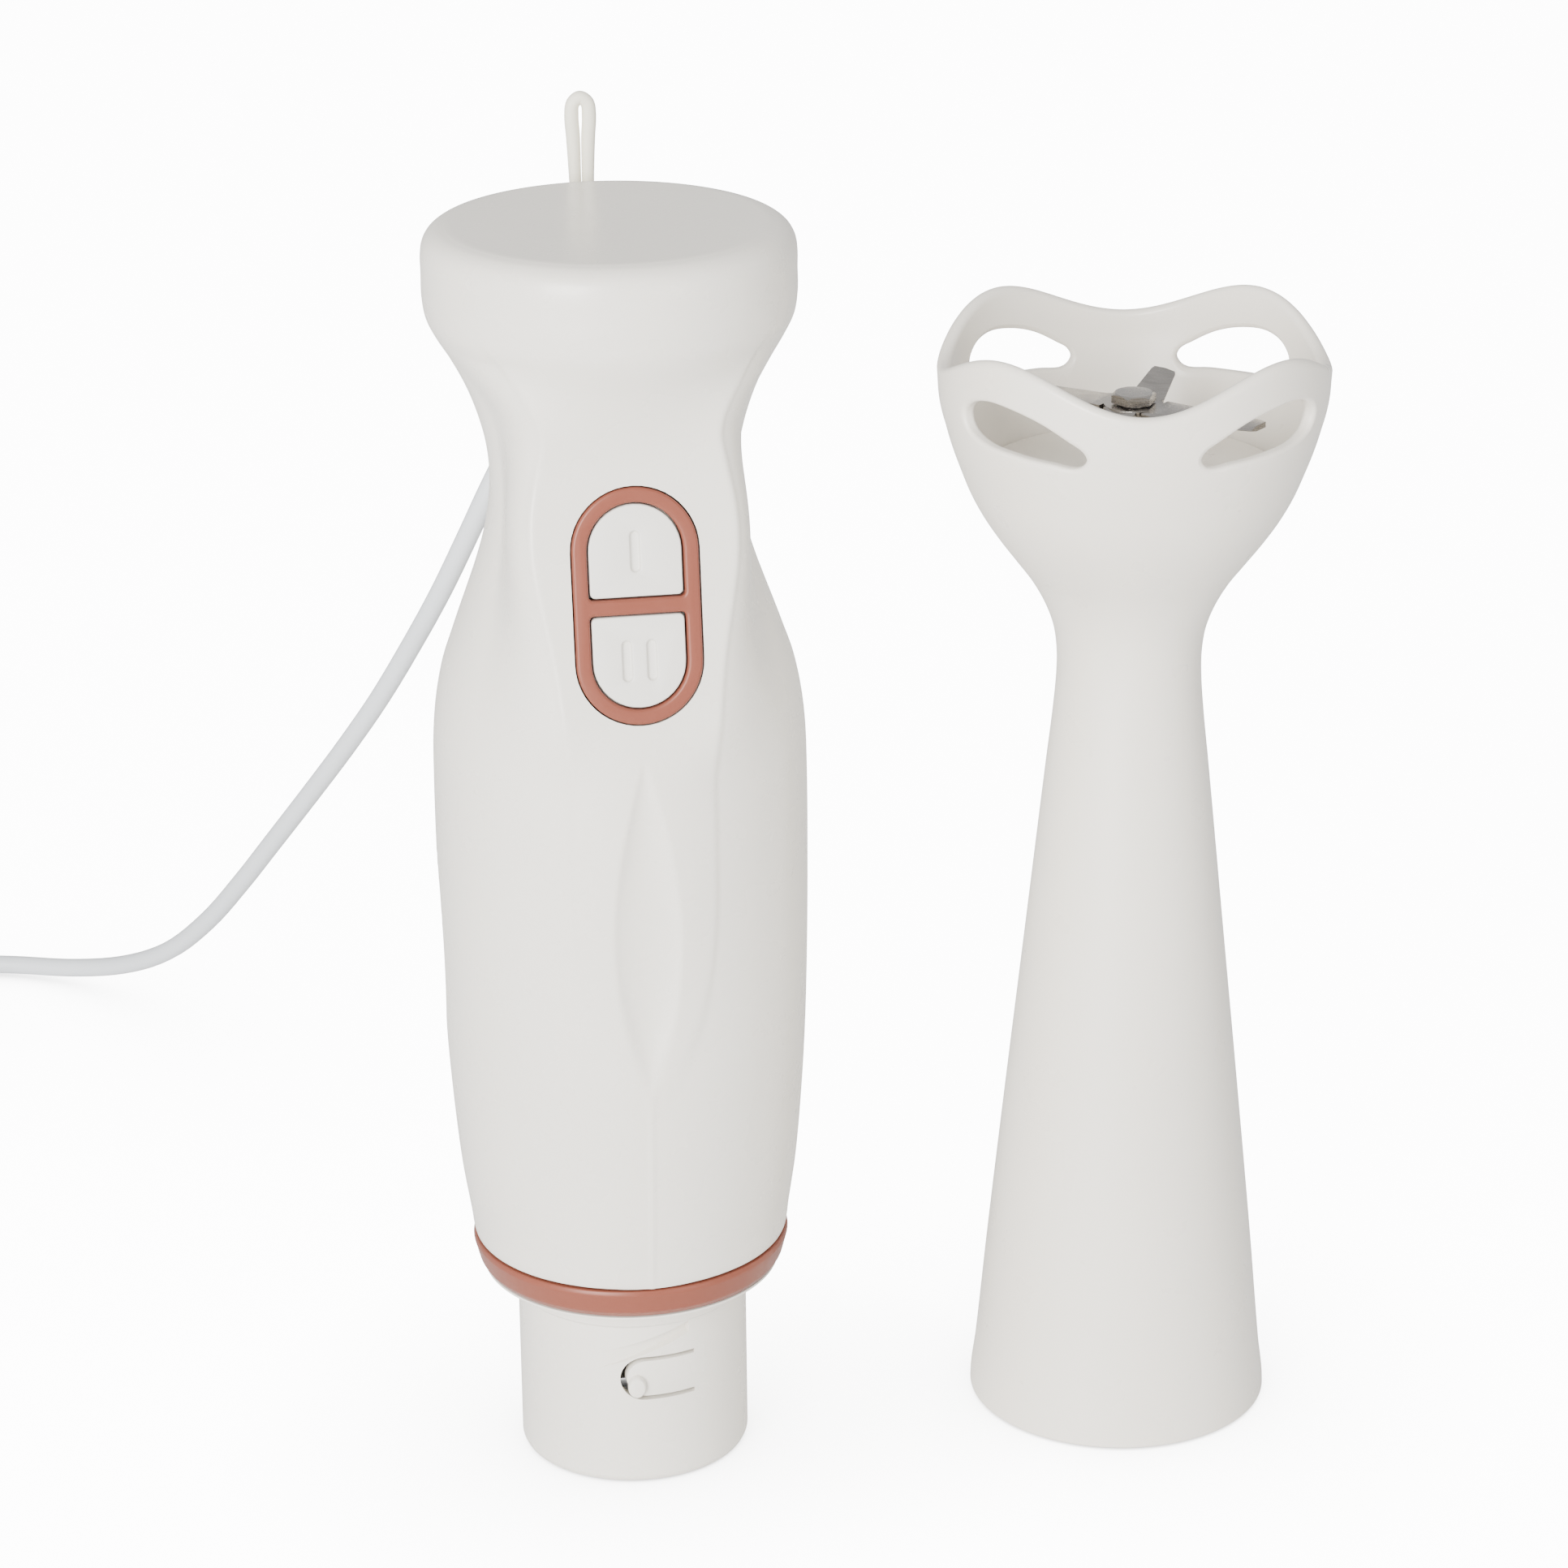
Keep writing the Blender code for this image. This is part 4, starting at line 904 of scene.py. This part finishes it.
def make_leg_inside():
    floor = rounded([(5.3, 158), (8, 158), (8, 172.4, 0.8), (25.0, 172.4, 0.3), (25.9, 174.6, 0.3),
                     (25.5, 175.0, 0.3), (18.0, 175.0, 2.0), (9.5, 175.0, 1.0), (5.3, 175)], 0.15, 4)
    show(lathe("guard_floor", floor, LEG, 160, closed=True, sharp=35), "leg", "bell_floor")
    seal = rounded([(2.8, 175.3), (7.0, 175.3, 0.3), (7.0, 176.6, 0.4), (4.4, 178.2, 0.3), (2.8, 178.2)],
                   0.1, 4)
    show(lathe("lip_seal", seal, LEG, 96, closed=True), "leg", "shaft_seal")


# Blade set ---------------------------------------------------------------------------
BLADE_Z = 186.4
BLADE_AZ = math.radians(134.7)
HUB_R, HUB_OUTSIDE = 4.2, 5.1
ARM_THIN, ARM_EDGE, ARM_GRIND, ARM_STEPS = 0.5, 0.06, 1.9, 12
ARM_TILT = math.radians(24)
NUT_R, NUT_TALL = 3.9, 1.9


def blade_arm(name, angle, reach, width, tip_width, tilt, sweep_by):
    """Arm from the hub outwards; its leading side is ground to an edge."""
    sections = []
    length = reach - HUB_R
    for k in range(ARM_STEPS + 1):
        t = k / ARM_STEPS
        x = length * t
        half = (width + (tip_width - width) * t) / 2
        middle_y = sweep_by * t
        ground = min(half * 0.9, ARM_GRIND) * min(1.0, t * 5)
        if k == ARM_STEPS:
            half *= 0.88
        edge = ARM_EDGE if ground > 0 else ARM_THIN
        flat = middle_y - half + max(ground, 0.02)
        corners = [(middle_y - half, -edge), (flat, -ARM_THIN), (middle_y + half, -ARM_THIN),
                   (middle_y + half, ARM_THIN), (flat, ARM_THIN), (middle_y - half, edge)]
        sections.append([Vector((x, y, z)) for y, z in corners])
    place = (Matrix.Rotation(angle, 4, "Z") @ Matrix.Translation((HUB_R, 0, 0))
             @ Matrix.Rotation(-tilt, 4, "Y"))
    at = Matrix.Translation(LEG + Vector((0, 0, BLADE_Z))) @ place
    return sweep(name, sections, lambda i: [at @ p for p in sections[i]])


def make_blade_set():
    disc = [(2.8, -ARM_THIN), (HUB_OUTSIDE, -ARM_THIN), (HUB_OUTSIDE, ARM_THIN), (2.8, ARM_THIN)]
    hub = lathe("cutter", rounded(disc, 0.08, 2), LEG + Vector((0, 0, BLADE_Z)), 96, closed=True)
    arms = []
    for half_turn in (0, math.pi):
        tilt = ARM_TILT if half_turn else -ARM_TILT
        arms.append(blade_arm("arm", BLADE_AZ + half_turn, 23.9, 8.5, 5.5, 0.0, 1.2))
        arms.append(blade_arm("arm", BLADE_AZ + math.pi / 2 + half_turn, 12.4, 6.5, 4.5, tilt, 1.0))
    boolean(hub, *arms, operation="UNION")
    shaded(hub, 18)
    show(hub, "blade_drive", "blade")
    shaft = [(0, 21.8), (2.3, 21.8), (2.5, 22.0), (2.5, 188.0), (2.2, 188.4), (0, 188.4)]
    show(lathe("drive_rod", shaft, LEG, 64), "blade_drive", "blade_shaft")
    collar = rounded([(2.8, 178.6), (3.9, 178.6), (3.9, 185.6), (2.8, 185.6)], 0.2, 3)
    show(lathe("spacer", collar, LEG, 64, closed=True), "blade_drive", "blade_collar")
    base = BLADE_Z + 0.8
    hexagon = [Vector((NUT_R * math.cos(math.pi * k / 3), NUT_R * math.sin(math.pi * k / 3)))
               for k in range(6)]
    nut = prism("hex_nut", hexagon, base, base + NUT_TALL, Matrix.Translation(LEG))
    dome = [(0, base - 1), (4.0, base - 1), (4.0, base + 1.2), (3.2, base + 1.7), (0, base + 1.85)]
    crown = lathe("crown", dome, LEG, 64)
    boolean(nut, crown, operation="INTERSECT")
    nut.data.set_sharp_from_angle(angle=math.radians(25))
    show(nut, "blade_drive", "blade_nut")


# Everything else ---------------------------------------------------------------------
def finish_cad_nodes():
    """CAD nodes that stay get this script's materials."""
    for name, obj in NODES.items():
        obj.data.materials.clear()
        obj.data.materials.append(MATERIALS[SLOT_OF[name]])


# Half of the floor's side, how far it lies under the pieces, its glow, and how far from a piece its painted
# contact shadow reaches.
FLOOR_HALF, FLOOR_DROP, FLOOR_GLOW, FLOOR_SHADE_REACH = 20000, 0.4, 12, 0.06


def make_floor():
    """White floor that glows for the camera only; close to a piece the glow is darkened by a painted contact
    shadow.
    """
    corners = ((-1, -1), (1, -1), (1, 1), (-1, 1))
    verts = [(x * FLOOR_HALF, y * FLOOR_HALF, -FLOOR_DROP) for x, y in corners]
    floor = mesh_object("floor", verts, [(0, 1, 2, 3)])
    mat = new_material("floor", (0.9, 0.9, 0.9), 0.6, Emission_Color=(1, 1, 1, 1))
    vary(mat, add_noise(mat, 3, 2), "Roughness", 0.55, 0.7)
    nodes, links = mat.node_tree.nodes, mat.node_tree.links
    # Ambient occlusion dims the camera-only glow near and under the pieces: painted contact shadow.
    painted_shade_ao = nodes.new("ShaderNodeAmbientOcclusion")
    painted_shade_ao.inputs["Distance"].default_value = FLOOR_SHADE_REACH
    seen = nodes.new("ShaderNodeMath")
    seen.operation = "MULTIPLY"
    links.new(nodes.new("ShaderNodeLightPath").outputs["Is Camera Ray"], seen.inputs[0])
    links.new(painted_shade_ao.outputs["AO"], seen.inputs[1])
    glow = nodes.new("ShaderNodeMath")
    glow.operation = "MULTIPLY"
    glow.inputs[1].default_value = FLOOR_GLOW
    links.new(seen.outputs["Value"], glow.inputs[0])
    links.new(glow.outputs["Value"], nodes["Principled BSDF"].inputs["Emission Strength"])
    floor.data.materials.append(mat)


def add_light(name, size, energy, location, target):
    data = bpy.data.lights.new(name, "AREA")
    data.shape = "RECTANGLE"
    data.size, data.size_y = size
    data.energy = energy
    obj = bpy.data.objects.new(name, data)
    obj.location = location
    way = Vector(target) - Vector(location)
    obj.rotation_euler = way.to_track_quat("-Z", "Y").to_euler()
    bpy.context.scene.collection.objects.link(obj)


def make_lights():
    world = bpy.data.worlds.new("world")
    world.use_nodes = True
    world.node_tree.nodes["Background"].inputs["Color"].default_value = (1, 1, 1, 1)
    world.node_tree.nodes["Background"].inputs["Strength"].default_value = 1.0
    bpy.context.scene.world = world
    add_light("key", (0.9, 1.3), 80, (-1.0, -1.5, 0.7), (0, 0, 0.1))
    add_light("fill", (0.8, 1.2), 8, (1.0, -1.6, 0.5), (0, 0, 0.1))


MATERIALS = make_materials()


def main():
    make_camera()
    make_cord_set()
    make_housing()
    make_screws()
    make_trim_ring()
    make_bezel()
    make_button("button_low", 1, (0,))
    make_button("button_high", -1, (-2.05, 2.05))
    make_spigot()
    make_latch()
    make_loop()
    make_leg_housing()
    make_leg_inside()
    make_blade_set()
    finish_cad_nodes()
    make_floor()
    make_lights()


main()
